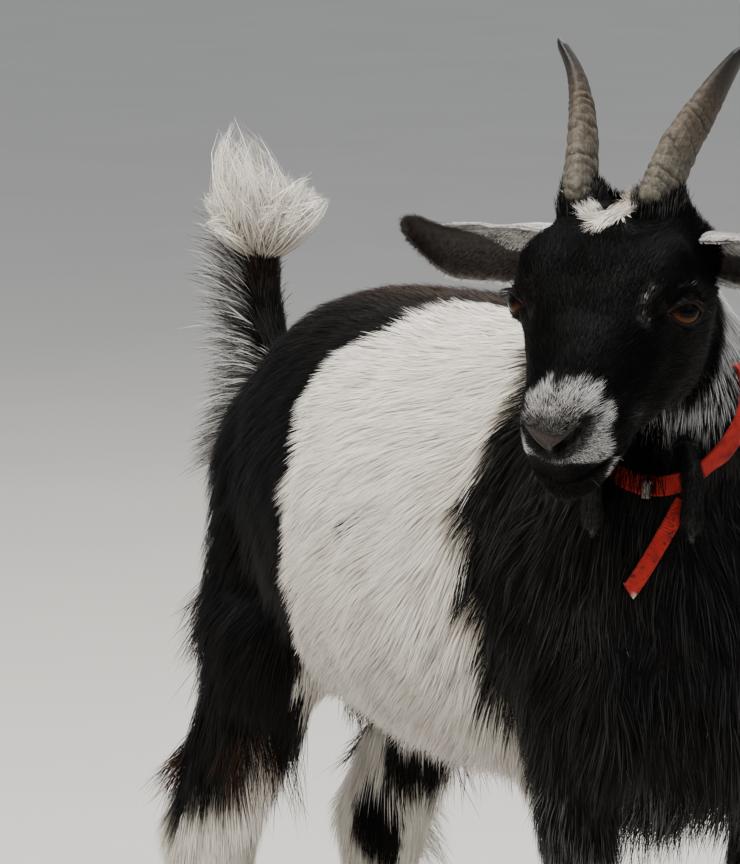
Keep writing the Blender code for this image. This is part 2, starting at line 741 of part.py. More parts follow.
def add_collar(parts, flesh, finish, metal):
    """A webbing ring round the neck, the buckle on it and the strap's loose end.  Gives the two straps."""
    path, faces = collar_path(flesh)
    ring = strap("collar_ring", parts, path, faces, COLLAR_WIDTH, COLLAR_THICK, True, finish)

    throat = Vector((0.87, -0.50, 0.0))
    begin, end = TONGUE_FROM, TONGUE_TO
    tongue = []
    for i in range(9):
        place = begin.lerp(end, i / 8)
        _, ground, _, _ = flesh.ray_cast(place + throat * 0.08, -throat)
        tongue.append(ground + throat * (0.0030 + 0.0040 * i / 8))
    loose_end = strap("collar_tongue", parts, tongue, [throat] * 9, TONGUE_WIDTH, 0.0022, False, finish)

    middle = min(range(len(path)), key=lambda i: (path[i] - BUCKLE_AT).length)
    along = (path[(middle + 1) % len(path)] - path[middle - 1]).normalized()
    face = faces[middle]
    place = path[middle] + face * (COLLAR_THICK + BUCKLE_LIFT + BUCKLE_SIZE[2] / 2)
    plate("collar_buckle", parts, place, along, face, BUCKLE_SIZE, metal)
    return ring, loose_end


def seat(piece, helpers, *hosts, gap=GAP):
    """Cuts room for piece out of its hosts, with a thin gap."""
    triangulate(piece)
    room = grown(piece, helpers, gap)
    for host in hosts:
        boolean(host, room, "DIFFERENCE")
    remove(room)


def head_parts(parts, helpers, body, finishes):
    """Horns, eyes, ears and wattles, each in a socket that leaves a thin gap."""
    coat, horn_finish, eye_finish = finishes
    for side, word in ((-1, "right"), (1, "left")):
        seat(horn(f"horn_{word}", parts, side, horn_finish), helpers, body["head"])
        seat(eye(f"eye_{word}", parts, side, eye_finish), helpers, body["head"])
        seat(ear(f"ear_{word}", parts, side, coat), helpers, body["head"], gap=2.5 * GAP)
    for word, root, out in (
        ("left", (0.254, -0.049, 0.457), (0.93, -0.36, 0)),
        ("right", (0.217, -0.081, 0.457), (0.45, -0.89, 0)),
    ):
        hung = wattle(f"wattle_{word}", parts, root, out, coat)
        seat(hung, helpers, body["head"], body["neck"])
        body[hung.name] = hung


# ---- the whole goat -----------------------------------------------------------------
def main():
    remove(*bpy.data.objects)
    coat = material("coat", (0.030, 0.028, 0.028), 0.75)
    horn_finish = material("horn", (0.25, 0.22, 0.19), 0.5)
    hoof_finish = material("hoof", (0.06, 0.055, 0.05), 0.5)
    eye_finish = material("eye", (0.45, 0.20, 0.05), 0.1)
    webbing = material("webbing", (0.60, 0.03, 0.02), 0.6)
    metal = material("buckle_metal", (0.55, 0.50, 0.42), 0.35)
    helpers = collection("helpers")
    parts = collection("goat")

    flesh = melted_flesh(helpers)
    straps = add_collar(parts, flesh, webbing, metal)
    body = parted_flesh(flesh, helpers, parts, coat)
    feet(parts, helpers, body, hoof_finish)
    head_parts(parts, helpers, body, (coat, horn_finish, eye_finish))
    for webbing_piece in straps:
        seat(webbing_piece, helpers, body["neck"], body["wattle_left"], body["wattle_right"])

    for piece in body.values():
        piece.data.shade_smooth()
        piece.data.set_sharp_from_angle(angle=math.radians(45))
    for piece in parts.objects:
        piece.data.transform(Matrix.Translation(-FOOTPRINT_CENTRE))
    remove(*helpers.objects)


if __name__ == "__main__":
    main()
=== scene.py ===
import math

import bpy
import numpy as np
from mathutils import Matrix, Vector


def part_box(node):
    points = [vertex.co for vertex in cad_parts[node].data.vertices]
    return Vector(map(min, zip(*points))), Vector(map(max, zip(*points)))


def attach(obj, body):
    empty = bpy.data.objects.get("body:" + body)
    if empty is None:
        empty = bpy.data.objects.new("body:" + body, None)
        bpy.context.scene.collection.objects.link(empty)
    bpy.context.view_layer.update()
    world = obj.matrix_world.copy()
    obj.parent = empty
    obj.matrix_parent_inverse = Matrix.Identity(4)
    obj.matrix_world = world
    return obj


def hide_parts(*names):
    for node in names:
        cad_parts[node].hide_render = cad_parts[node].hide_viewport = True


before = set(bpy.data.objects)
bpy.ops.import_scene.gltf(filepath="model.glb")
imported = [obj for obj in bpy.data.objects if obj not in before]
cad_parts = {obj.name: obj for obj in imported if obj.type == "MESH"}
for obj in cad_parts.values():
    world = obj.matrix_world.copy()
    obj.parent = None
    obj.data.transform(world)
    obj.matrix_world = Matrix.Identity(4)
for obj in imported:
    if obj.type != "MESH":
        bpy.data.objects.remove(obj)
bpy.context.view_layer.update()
print("frame loaded")

bothSides = ((1, "left"), (-1, "right"))


# tools that every piece uses

def hexColour(text):
    # sRGB hex to the linear colour that sockets take
    parts = [int(text[i:i + 2], 16) / 255 for i in (1, 3, 5)]
    return [c / 12.92 if c <= 0.04045 else ((c + 0.055) / 1.055) ** 2.4 for c in parts] + [1.0]


def setSocket(socket, value):
    socket.default_value = hexColour(value) if isinstance(value, str) else value


def wire(tree, node, links):
    # a source is a socket, or a node that gives its first output
    for name, source in links.items():
        if hasattr(source, "outputs"):
            source = source.outputs[0]
        tree.links.new(source, node.inputs[name])


def addNode(tree, kind, settings={}, links={}):
    # settings name either the node's own options or its sockets; stops fill a colour ramp
    node = tree.nodes.new("ShaderNode" + kind)
    for name, value in settings.items():
        if name == "stops":
            ramp = node.color_ramp.elements
            while len(ramp) < len(value):
                ramp.new(0.5)
            for stop, (place, colour) in zip(ramp, value):
                stop.position = place
                stop.color = hexColour(colour)
        elif hasattr(node, name):
            setattr(node, name, value)
        else:
            setSocket(node.inputs[name], value)
    wire(tree, node, links)
    return node


def newFinish(name, settings, values=()):
    # a finish, its tree and shader, and the piece's own values that it reads
    finish = bpy.data.materials.new(name)
    finish.use_nodes = True
    tree = finish.node_tree
    shader = tree.nodes["Principled BSDF"]
    for socket, value in settings.items():
        setSocket(shader.inputs[socket], value)
    read = {value: addNode(tree, "Attribute", {"attribute_name": value}).outputs["Fac"] for value in values}
    return finish, tree, shader, read


def mottledFinish(name, settings, scale, detail, stops, strength, distance, values=()):
    # one noise gives both the mottled tone and the fine relief
    finish, tree, shader, read = newFinish(name, settings, values)
    place = addNode(tree, "TexCoord").outputs["Object"]
    mottle = addNode(tree, "TexNoise", {"Scale": scale, "Detail": detail}, {"Vector": place})
    tone = addNode(tree, "ValToRGB", {"stops": stops}, {"Fac": mottle})
    relief = addNode(tree, "Bump", {"Strength": strength, "Distance": distance}, {"Height": mottle})
    wire(tree, shader, {"Base Color": tone, "Normal": relief})
    return finish, tree, shader, read, mottle, tone


def workOn(obj):
    for other in bpy.context.selected_objects:
        other.select_set(False)
    obj.select_set(True)
    bpy.context.view_layer.objects.active = obj


def editAll(obj, *steps):
    # edit-mode operators, each with its settings, on the whole mesh
    workOn(obj)
    bpy.ops.object.mode_set(mode="EDIT")
    bpy.ops.mesh.select_all(action="SELECT")
    for step, settings in steps:
        step(**settings)
    bpy.ops.object.mode_set(mode="OBJECT")


faceOut = (bpy.ops.mesh.normals_make_consistent, {"inside": False})
mergeDoubles = (bpy.ops.mesh.remove_doubles, {"threshold": 0.00002})


def modify(obj, *steps):
    # adds modifiers, each a kind and its settings, and applies them
    workOn(obj)
    for kind, settings in steps:
        step = obj.modifiers.new(kind.title(), kind)
        for name, value in settings.items():
            setattr(step, name, value)
    for step in list(obj.modifiers):
        bpy.ops.object.modifier_apply(modifier=step.name)


def readRows(items, key, wide=3, kind=np.float32):
    flat = np.empty(len(items) * wide, kind)
    items.foreach_get(key, flat)
    return flat.reshape(-1, wide).astype(float) if kind is np.float32 else flat


def readPoints(mesh):
    return readRows(mesh.vertices, "co")


def readNormals(mesh):
    return readRows(mesh.vertices, "normal")


def faceCentres(mesh):
    return readRows(mesh.polygons, "center")


def writePoints(mesh, points):
    mesh.vertices.foreach_set("co", points.astype(np.float32).ravel())
    mesh.update()


def setValues(mesh, **values):
    for name, numbers in values.items():
        layer = mesh.attributes.get(name) or mesh.attributes.new(name, "FLOAT", "POINT")
        layer.data.foreach_set("value", np.asarray(numbers, np.float32))


def pickFaces(obj, chosen):
    # leaves the object in edit mode with just these faces selected
    mesh = obj.data
    workOn(obj)
    bpy.context.tool_settings.mesh_select_mode = (False, False, True)
    mesh.vertices.foreach_set("select", np.zeros(len(mesh.vertices), bool))
    mesh.edges.foreach_set("select", np.zeros(len(mesh.edges), bool))
    mesh.polygons.foreach_set("select", np.asarray(chosen, bool))
    bpy.ops.object.mode_set(mode="EDIT")


def nodeCopy(node):
    # a free copy of a solid, selected and active
    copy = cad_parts[node].copy()
    copy.data = copy.data.copy()
    copy.parent = None
    for key in list(copy.keys()):
        del copy[key]
    bpy.context.scene.collection.objects.link(copy)
    workOn(copy)
    return copy


def joined(whole, *others):
    workOn(whole)
    for other in others:
        other.select_set(True)
    bpy.ops.object.join()
    return bpy.context.object


def dress(obj, finish, slot, *nodes):
    # the closing steps of a piece: smooth shading, finish, body and hiding the nodes it stands for; slot is
    # not used
    workOn(obj)
    bpy.ops.object.shade_smooth()
    obj.data.materials.clear()
    obj.data.materials.append(finish)
    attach(obj, "root")
    if nodes:
        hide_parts(*nodes)
    return obj


def unit(rows):
    rows = np.asarray(rows, float)
    return rows / np.maximum(np.linalg.norm(rows, axis=-1, keepdims=True), 1e-12)


def ease(start, end, value):
    # 0 before start, 1 after end, smooth between; start may be above end
    t = np.clip((np.asarray(value, float) - start) / (end - start), 0, 1)
    return t * t * (3 - 2 * t)


def bell(value, width):
    return np.exp(-(np.asarray(value) / width) ** 2)


def farFrom(points, place):
    return np.linalg.norm(points - np.asarray(place), axis=1)


def waves(points, size, seed):
    # smooth noise from -1 to 1 with bumps about size metres across
    draw = np.random.default_rng(seed)
    total = np.zeros(len(points))
    for _ in range(7):
        way = unit(draw.normal(size=3)) * draw.uniform(0.7, 1.5) * math.pi / size
        total += np.sin(points @ way + draw.uniform(0, 2 * math.pi))
    return np.clip(total / 3.2, -1, 1)


def alongRows(rows, t):
    # Catmull-Rom through rows of numbers; t from 0 to 1 may be an array
    rows = np.asarray(rows, float)
    last = len(rows) - 1
    at = np.clip(np.asarray(t, float), 0, 1) * last
    i = np.minimum(at.astype(int), last - 1)
    f = (at - i)[..., None]
    a, b = rows[np.maximum(i - 1, 0)], rows[i]
    c, d = rows[i + 1], rows[np.minimum(i + 2, last)]
    cubic = (3 * b - a - 3 * c + d) * f ** 3
    return 0.5 * (2 * b + (c - a) * f + (2 * a - 5 * b + 4 * c - d) * f * f + cubic)


def offLine(points, rows):
    # distance from each point to a run of straight lines, and how far along it the nearest place is
    rows = np.asarray(rows, float)
    best = np.full(len(points), 9.0)
    share = np.zeros(len(points))
    count = len(rows) - 1
    for k in range(count):
        a, b = rows[k], rows[k + 1]
        t = np.clip((points - a) @ (b - a) / max((b - a) @ (b - a), 1e-12), 0, 1)
        away = np.linalg.norm(points - a - t[:, None] * (b - a), axis=1)
        closer = away < best
        best = np.where(closer, away, best)
        share = np.where(closer, (k + t) / count, share)
    return best, share


# where things are

bodyPlan = {
    "origin": (0.0359, -0.0293, 0.0),  # the frame's origin, measured from the crossing of midline and girth
    "headTurn": -60,
    "headPitch": 40,
    "headRoll": -1,
    "eyeAhead": 0.002,  # the eyes' centres in the head's own frame
    "eyeAbove": 0.001,
    "noseAside": -0.0025,  # the nose is carried this much to the goat's right of the head's midline
}


def boxCentre(node):
    low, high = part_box(node)
    return (low + high) / 2


def headFrame():
    # x along the face to the nose, y to the goat's left, z out of the forehead
    turned = Matrix.Identity(3)
    for key, axis in (("headTurn", "Z"), ("headPitch", "Y"), ("headRoll", "X")):
        turned = turned @ Matrix.Rotation(math.radians(bodyPlan[key]), 3, axis)
    middle = (boxCentre("eye_left") + boxCentre("eye_right")) / 2
    place = middle - turned @ Vector((bodyPlan["eyeAhead"], 0, bodyPlan["eyeAbove"]))
    return np.array(turned), np.array(place)


headAxes, headPlace = headFrame()
bodyOrigin = np.array(bodyPlan["origin"])


def toHead(points):
    return (points - headPlace) @ headAxes


def fromHead(points):
    return np.asarray(points, float) @ headAxes.T + headPlace


def toBody(points):
    # the goat's own plan: y is 0 on its midline and z is 0 on the floor
    return points + bodyOrigin


def fromBody(points):
    return np.asarray(points, float) - bodyOrigin


def flipped(rows, side):
    # rows of x, y, z for the goat's left, turned over for its right
    return [(x, side * y, z) for x, y, z in rows]


# camera, lights and floor

studio = {
    "target": (-0.0818, -0.0362, 0.4494),
    "azimuth": 55,
    "elevation": 7,
    "distance": 4.0,
    "lens": 266.7,
    "floorColours": ("#cbc8c2", "#cfccc6"),
    "worldColour": "#e6ebf2",
    "worldStrength": 0.60,
    "lights": (  # name, azimuth, elevation, distance, size, watts, colour
        ("keyLight", 20, 52, 3.2, 1.6, 84, "#fff6ea"),
        ("topLight", 45, 84, 3.0, 2.0, 150, "#f8f8fa"),
        ("fillLight", 110, 25, 3.6, 2.2, 8, "#eaf1ff"),
        ("rimLight", 215, 38, 3.4, 1.6, 45, "#fff4e2"),
        ("eyeLight", 60, 50, 3.0, 0.6, 22, "#dfe8f6"),
    ),
}


def lookFrom(obj, azimuth, elevation, distance):
    a, e = math.radians(azimuth), math.radians(elevation)
    back = Vector((math.sin(a) * math.cos(e), -math.cos(a) * math.cos(e), math.sin(e)))
    obj.location = Vector(studio["target"]) + back * distance
    obj.rotation_euler = (-back).to_track_quat("-Z", "Y").to_euler()


def makeStudio():
    bpy.ops.object.camera_add()
    camera = bpy.context.object
    camera.name = "portraitCamera"
    camera.data.lens = studio["lens"]
    camera.data.sensor_width = 36
    camera.data.clip_end = 100
    lookFrom(camera, studio["azimuth"], studio["elevation"], studio["distance"])
    bpy.context.scene.camera = camera
    for name, azimuth, elevation, distance, size, watts, colour in studio["lights"]:
        bpy.ops.object.light_add(type="AREA")
        lamp = bpy.context.object
        lamp.name = name
        lamp.data.shape = "DISK"
        lamp.data.size = size
        lamp.data.energy = watts
        lamp.data.color = hexColour(colour)[:3]
        lookFrom(lamp, azimuth, elevation, distance)
    world = bpy.data.worlds.new("paleRoom")
    world.use_nodes = True
    sky = world.node_tree.nodes["Background"]
    setSocket(sky.inputs["Color"], studio["worldColour"])
    setSocket(sky.inputs["Strength"], studio["worldStrength"])
    bpy.context.scene.world = world
    bpy.ops.mesh.primitive_plane_add(size=80, location=(0, 0, 0))
    floor = bpy.context.object
    floor.name = "paleFloor"
    # matt painted board: no gloss, a very faint unevenness
    finish, tree, shader, _ = newFinish("mattFloorPaint", {"Roughness": 0.9, "Specular IOR Level": 0.2})
    place = addNode(tree, "TexCoord").outputs["Object"]
    mottle = addNode(tree, "TexNoise", {"Scale": 3.0, "Detail": 3.0}, {"Vector": place})
    stops = tuple(zip((0.3, 0.7), studio["floorColours"]))
    tint = addNode(tree, "ValToRGB", {"stops": stops}, {"Fac": mottle})
    wire(tree, shader, {"Base Color": tint})
    floor.data.materials.append(finish)
    print("studio ready")


makeStudio()


# how the coat lies
# Each guide hair: its place in mm, the way it points, its length in mm, and the degrees it lifts off
# the skin.
# Body guides are in the goat's own plan and stand for both sides; head guides are in the head's frame.

bodyHair = (
    (150, 0, 540, -1, 0, -0.1, 24, 20), (80, 0, 537, -1, 0, 0, 26, 20), (-20, 0, 536, -1, 0, 0, 27, 20),
    (-120, 0, 530, -1, 0, -0.1, 26, 20), (-200, 0, 500, -1, 0, -0.45, 26, 20),
    (100, 115, 480, -0.9, 0, -0.45, 22, 18), (0, 120, 490, -0.9, 0, -0.45, 21, 18),
    (60, 135, 400, -0.8, 0, -0.6, 20, 18), (-20, 132, 400, -0.8, 0, -0.6, 20, 18),
    (60, 115, 310, -0.8, -0.1, -0.6, 24, 18), (-30, 110, 310, -0.8, -0.1, -0.5, 24, 18),
    (50, 0, 240, -1, 0, -0.1, 28, 20), (-60, 0, 250, -1, 0, -0.2, 28, 20),
    (-85, 100, 390, -0.7, 0, -0.75, 24, 18), (-150, 85, 470, -0.7, 0, -0.7, 25, 18),
    (-160, 95, 400, -0.5, 0, -0.85, 27, 18), (-220, 70, 440, -0.5, 0.2, -0.85, 28, 20),
    (-245, 40, 420, -0.4, 0.2, -0.9, 30, 20), (-130, 100, 300, -0.35, 0, -0.95, 26, 18),
    (-175, 98, 320, -0.3, 0, -0.95, 30, 18), (-230, 65, 330, -0.35, 0.1, -0.95, 40, 24),
    (-236, 65, 260, -0.35, 0.1, -0.95, 42, 26), (-225, 30, 330, -0.25, -0.1, -0.95, 34, 20),
    (-150, 92, 230, 0.1, 0, -1, 30, 22), (-195, 92, 225, -0.15, 0, -1, 26, 18),
    (-180, 50, 225, -0.1, 0, -1, 26, 18), (-250, 70, 200, -0.15, 0, -1, 26, 22),
    (-215, 70, 165, 0.05, 0, -1, 17, 18), (-255, 70, 160, -0.05, 0, -1, 20, 20),
    (-228, 70, 110, 0, 0, -1, 13, 16), (-225, 70, 60, 0.15, 0, -1, 13, 18),
    (-210, 70, 35, 0.35, 0, -1, 10, 16), (166, 100, 450, -0.45, 0, -0.9, 34, 20),
    (166, 108, 380, -0.3, 0, -0.95, 36, 20), (130, 115, 350, -0.55, 0, -0.85, 34, 18),
    (215, 85, 400, -0.1, 0.1, -1, 38, 20), (258, 30, 400, 0.05, 0, -1, 42, 22),
    (262, 0, 330, 0, 0, -1, 44, 22), (225, 60, 300, -0.1, 0, -1, 38, 20),
    (220, 0, 235, -0.4, 0, -0.9, 42, 24), (150, 0, 225, -0.9, 0, -0.4, 34, 22),
    (190, 105, 310, -0.15, 0, -1, 28, 18), (160, 105, 280, -0.25, 0, -1, 28, 20),
    (150, 85, 255, -0.25, 0, -1, 26, 22), (180, 95, 230, 0, 0, -1, 20, 17),
    (182, 75, 165, 0, 0, -1, 14, 16), (160, 75, 160, -0.1, 0, -1, 16, 18), (180, 75, 105, 0, 0, -1, 12, 16),
    (182, 75, 60, 0.1, 0, -1, 13, 18), (192, 75, 35, 0.35, 0, -1, 10, 16),
    (130, 60, 530, -0.8, 0.1, -0.5, 28, 20),
)
neckHair = (  # the neck bends to the goat's right, so each side has its own guides
    (195, -5, 560, -0.6, 0.3, -0.3, 26, 22), (175, 30, 530, -0.6, 0.4, -0.6, 30, 20),
    (225, 0, 520, -0.3, 0.4, -0.9, 32, 20), (235, 0, 470, -0.15, 0.2, -1, 34, 20),
    (215, 45, 460, -0.25, 0.2, -1, 34, 20), (255, -50, 470, -0.05, 0, -1, 26, 18),
    (190, -95, 490, -0.5, -0.2, -0.8, 30, 20), (165, -80, 520, -0.6, -0.2, -0.7, 28, 20),
    (215, -100, 450, -0.45, -0.3, -0.85, 36, 20), (175, -105, 420, -0.55, -0.2, -0.8, 36, 20),
    (245, -60, 420, 0, -0.1, -1, 38, 20), (240, -5, 541, -0.1, 0.15, -1, 16, 14),
    (253, -19, 525, -0.03, 0.06, -1, 15, 14), (258, -30, 508, 0, 0.04, -1, 15, 14),
    (258, -36, 490, 0, 0.04, -1, 16, 14), (255, -46, 476, -0.02, 0, -1, 17, 14),
)
tailHair = (
    (-240, 0, 470, -0.45, 0, 0.9, 18, 16), (-246, 0, 510, -0.1, 0, 1, 16, 14),
    (-246, 0, 545, 0.15, 0, 1, 26, 18), (-255, 22, 480, -0.4, 0.3, 0.85, 20, 18),
    (-262, 20, 520, -0.15, 0.4, 1, 22, 22), (-285, 0, 530, -0.6, 0, 0.8, 34, 34),
    (-285, 0, 490, -0.9, 0, 0.1, 38, 34), (-280, 0, 455, -0.7, 0, -0.6, 42, 34),
    (-270, 15, 440, -0.5, 0.2, -0.8, 38, 26), (-266, 0, 575, 0, 0, 1, 30, 30),
    (-255, 0, 560, 0.4, 0, 1, 30, 30), (-278, 0, 560, -0.4, 0, 1, 30, 30),
    (-266, 18, 560, 0, 0.45, 1, 30, 30),
)
headHair = (
    (100, 0, 12, -1, 0, 0.2, 4, 20), (85, 0, 18, -1, 0, 0.1, 6.5, 20), (65, 0, 20, -1, 0, 0.1, 8, 17),
    (40, 0, 24, -1, 0, 0.1, 7.5, 13), (10, 0, 33, -1, 0, 0.1, 8, 13), (-12, 0, 36, -0.8, 0, 0.1, 9, 14),
    (-30, 0, 36, 1, 0, 0, 12, 18), (-50, 0, 30, 1, 0, 0.1, 15, 20), (-42, 14, 34, -0.2, 0.9, 0.3, 9, 12),
    (-52, 25, 40, -0.8, 0, 0.6, 10, 14), (-62, 14, 36, -0.7, -0.1, 0.7, 10, 16),
    (-62, 36, 34, -0.7, 0.2, 0.7, 11, 16), (-70, 0, 20, 0.6, 0, 0.6, 16, 30),
    (-85, 0, 0, -0.6, 0, -0.6, 18, 24), (102, 18, -6, -0.9, 0.3, -0.3, 4, 20),
    (88, 24, 0, -1, 0.4, -0.1, 6, 20), (80, 29, -12, -1, 0.3, -0.25, 7, 20),
    (62, 26, 5, -1, 0.2, -0.1, 7.5, 15), (40, 34, 0, -1, 0.1, -0.3, 8, 13),
    (20, 40, 14, -1, 0.1, 0.3, 6, 13), (10, 34, 28, -0.9, 0.2, 0.2, 6, 14),
    (-18, 40, 26, -0.9, 0.2, -0.1, 7.5, 14), (10, 48, -15, -0.9, 0.1, -0.5, 6.5, 13),
    (-18, 52, 0, -0.9, 0.1, -0.3, 7.5, 14), (-35, 48, 12, -0.8, 0.3, -0.2, 9, 16),
    (-45, 46, -20, -0.7, 0.2, -0.7, 12, 18), (-12, 46, -40, -0.7, 0.1, -0.7, 11, 16),
    (30, 34, -30, -0.9, 0.1, -0.5, 9, 14), (55, 26, -40, -0.9, 0.1, -0.5, 9, 15),
    (20, 25, -62, -0.9, 0.1, -0.6, 13, 20), (-30, 35, -68, -0.7, 0.1, -0.7, 17, 22),
    (0, 0, -70, -0.9, 0, -0.4, 14, 20), (-60, 0, -60, -0.8, 0, -0.6, 18, 20),
    (50, 0, -60, -0.9, 0, -0.4, 12, 20), (104, 12, -24, -0.7, 0.5, -0.5, 3.5, 18),
    (106, -3, -16, -0.2, 0, -1, 2.5, 16), (98, 10, -42, -0.6, 0.3, -0.7, 5.5, 20),
    (85, 18, -55, -0.7, 0.3, -0.7, 9, 24), (80, 0, -68, -0.6, 0, -0.8, 11, 26),
)
coatLook = {
    "widthBase": 0.00024,  # a tuft's width at its root is this plus a share of its length
    "widthShare": 0.0135,
    "widthMost": 0.00074,
    "cover": 4.0,  # how many tufts lie over each place
    "tuftsMost": 400000,
    "longHair": 0.0300,  # above this length a tuft bends in three steps
    "shortHair": 0.0085,  # below this length it is a single blade
    "liftShare": 0.62,  # the guides' lifts are for winter hair; this summer coat lies flatter
    "depthShare": 0.80,  # the skin lies this share of the tufts' height inside the solids
    "lock": 0.0075,  # size of the locks whose tips lean together
    "patch": 0.0015,  # half the side of a tuft's patch on the unwrap
}


def mirrored(rows):
    # guides more than 8 mm off the midline stand for both sides
    return list(rows) + [(x, -y, z, a, -b, *rest) for x, y, z, a, b, *rest in rows if abs(y) > 8]


def gatherGuides():
    onBody = np.array(mirrored(bodyHair) + list(neckHair) + mirrored(tailHair))
    onHead = np.array(mirrored(headHair))
    places = np.vstack((fromBody(onBody[:, :3] / 1000), fromHead(onHead[:, :3] / 1000)))
    ways = np.vstack((unit(onBody[:, 3:6]), unit(onHead[:, 3:6]) @ headAxes.T))
    both = np.vstack((onBody, onHead))
    return places, ways, np.stack((both[:, 6] / 1000, np.radians(both[:, 7])), axis=1)


guidePlaces, guideWays, guideSizes = gatherGuides()


def combed(points):
    # way, length and lift at each point, shared out between the guides nearest to it
    ways = np.empty((len(points), 3))
    sizes = np.empty((len(points), 2))
    for start in range(0, len(points), 30000):
        some = points[start:start + 30000]
        square = ((some[:, None, :] - guidePlaces[None]) ** 2).sum(2)
        share = 1 / (square + 1e-6) ** 2.2
        share /= share.sum(1, keepdims=True)
        ways[start:start + 30000] = share @ guideWays
        sizes[start:start + 30000] = share @ guideSizes
    return unit(ways), sizes[:, 0], sizes[:, 1] * coatLook["liftShare"]


def tuftWidth(length):
    return np.minimum(coatLook["widthBase"] + coatLook["widthShare"] * length, coatLook["widthMost"])


# markings: the same for skin and coat

markPlaces = {
    "beltSpot": (0.0365, -0.1377, 0.409),  # a small dark spot on the right side of the belt
    "stockingPatches": (  # the black patches on the hind stockings, and their radius
        (-0.213, -0.088, 0.212, 0.018), (-0.225, -0.088, 0.198, 0.016), (-0.164, 0.057, 0.216, 0.028),
        (-0.204, 0.047, 0.176, 0.024), (-0.250, 0.085, 0.200, 0.020),
    ),
    "star": (
        (-0.060, -0.032, 0.026), (-0.044, -0.017, 0.032), (-0.034, -0.006, 0.034),
        (-0.044, 0.000, 0.032), (-0.062, 0.007, 0.026),
    ),
    "noseWing": ((0.1075, 0.003, -0.0050), (0.1058, 0.0095, -0.0022), (0.1028, 0.0150, 0.0002)),
    "browHairs": (  # flecks of grey round the eye, and their radius
        (0.0125, 0.0375, 0.0254, 0.0032), (0.0175, 0.0345, 0.0225, 0.0030),
        (0.0092, 0.0425, 0.0252, 0.0018), (0.0010, 0.0505, 0.0182, 0.0018),
        (-0.0045, 0.0530, 0.0131, 0.0020), (0.0250, 0.0335, 0.0150, 0.0026),
        (0.0265, 0.0365, 0.0110, 0.0022),
    ),
    "lipCorner": ((0.0920, 0.0255, -0.0323), (0.0954, 0.0205, -0.0417), (0.0930, 0.0150, -0.0560)),
    "cheekFleck": (0.0635, 0.0322, -0.0250),
    "nostril": (  # a comma from beside the lip's groove, out and up round the wing of the nose
        (0.1080, 0.0055, -0.0085), (0.1066, 0.0106, -0.0060), (0.1035, 0.0150, -0.0036),
        (0.0996, 0.0186, -0.0010), (0.0950, 0.0205, 0.0030),
    ),
    "mouth": (  # the goat's left half from under the nose to the corner; the chin hangs to its right
        (0.1112, -0.0060, -0.0362), (0.1108, 0.0040, -0.0345), (0.1070, 0.0150, -0.0300),
        (0.1002, 0.0214, -0.0290), (0.0905, 0.0262, -0.0295), (0.0830, 0.0285, -0.0320),
    ),
    "lipMiddle": -0.0060,
}


def nostrilPath(side):
    return [(x, y + bodyPlan["noseAside"], z) for x, y, z in flipped(markPlaces["nostril"], side)]


def nostrilsAway(head):
    return np.minimum(offLine(head, nostrilPath(1))[0], offLine(head, nostrilPath(-1))[0])


def mouthLine(side):
    middle = markPlaces["lipMiddle"]
    return [(x, side * (y - middle) + middle, z) for x, y, z in markPlaces["mouth"]]


def onHeadShare(head):
    # 1 on the head, 0 on the neck, and lower down only ahead of the jaw's corner
    hx, hy, hz = head.T
    share = ease(-0.088, -0.078, hx) * ease(0.096, 0.088, np.abs(hy))
    return share * ease(-0.094, -0.085, hz + 0.25 * np.minimum(hx + 0.02, 0))


def paleShare(points, body, head, onHead, warp):
    # the white of belt, hind stockings, tail brush and star
    x, y, z = body.T
    side = np.abs(y)
    front = 0.1235 + 0.014 * ease(0.43, 0.49, z) + 0.014 * ease(0.34, 0.28, z) - x
    rear = x + 0.044 - 0.044 * ease(0.487, 0.532, z) + 0.050 * ease(0.350, 0.290, z)
    crest = side - 0.020 + 0.12 * np.maximum(0.520 - z, 0)
    belt = ease(-0.003, 0.004, np.minimum(np.minimum(front, rear), crest) + warp)
    belt *= 1 - onHead
    legs = ease(0.262, 0.250, z) * ease(0.020, 0.035, side)
    belt *= 1 - legs * ease(0.120, 0.135, x)
    spot = np.linalg.norm((body - markPlaces["beltSpot"]) * (1.0, 0.6, 0.55), axis=1)
    belt *= 1 - ease(0.0052, 0.0036, spot)

    hind = (x < -0.10) & (z < 0.30) & (side > 0.02)
    edge = np.where(y > 0, 0.275, 0.203 + 0.040 * ease(-0.190, -0.140, x)) + 1.2 * warp
    stocking = ease(edge + 0.004, edge - 0.004, z) * hind
    patches = np.zeros(len(points))
    for *place, size in markPlaces["stockingPatches"]:
        patches = np.maximum(patches, ease(size + 0.004, size - 0.004, farFrom(body, place) + 1.4 * warp))
    stocking *= 1 - patches

    brush = ease(0.543, 0.556, z + 0.4 * warp) * ease(-0.235, -0.243, x)
    star = ease(0.0075, 0.0050, offLine(head, markPlaces["star"])[0] + 0.3 * warp)
    star *= ease(-0.078, -0.070, head[:, 0])
    return np.maximum.reduce([belt, stocking, brush, star * onHead])


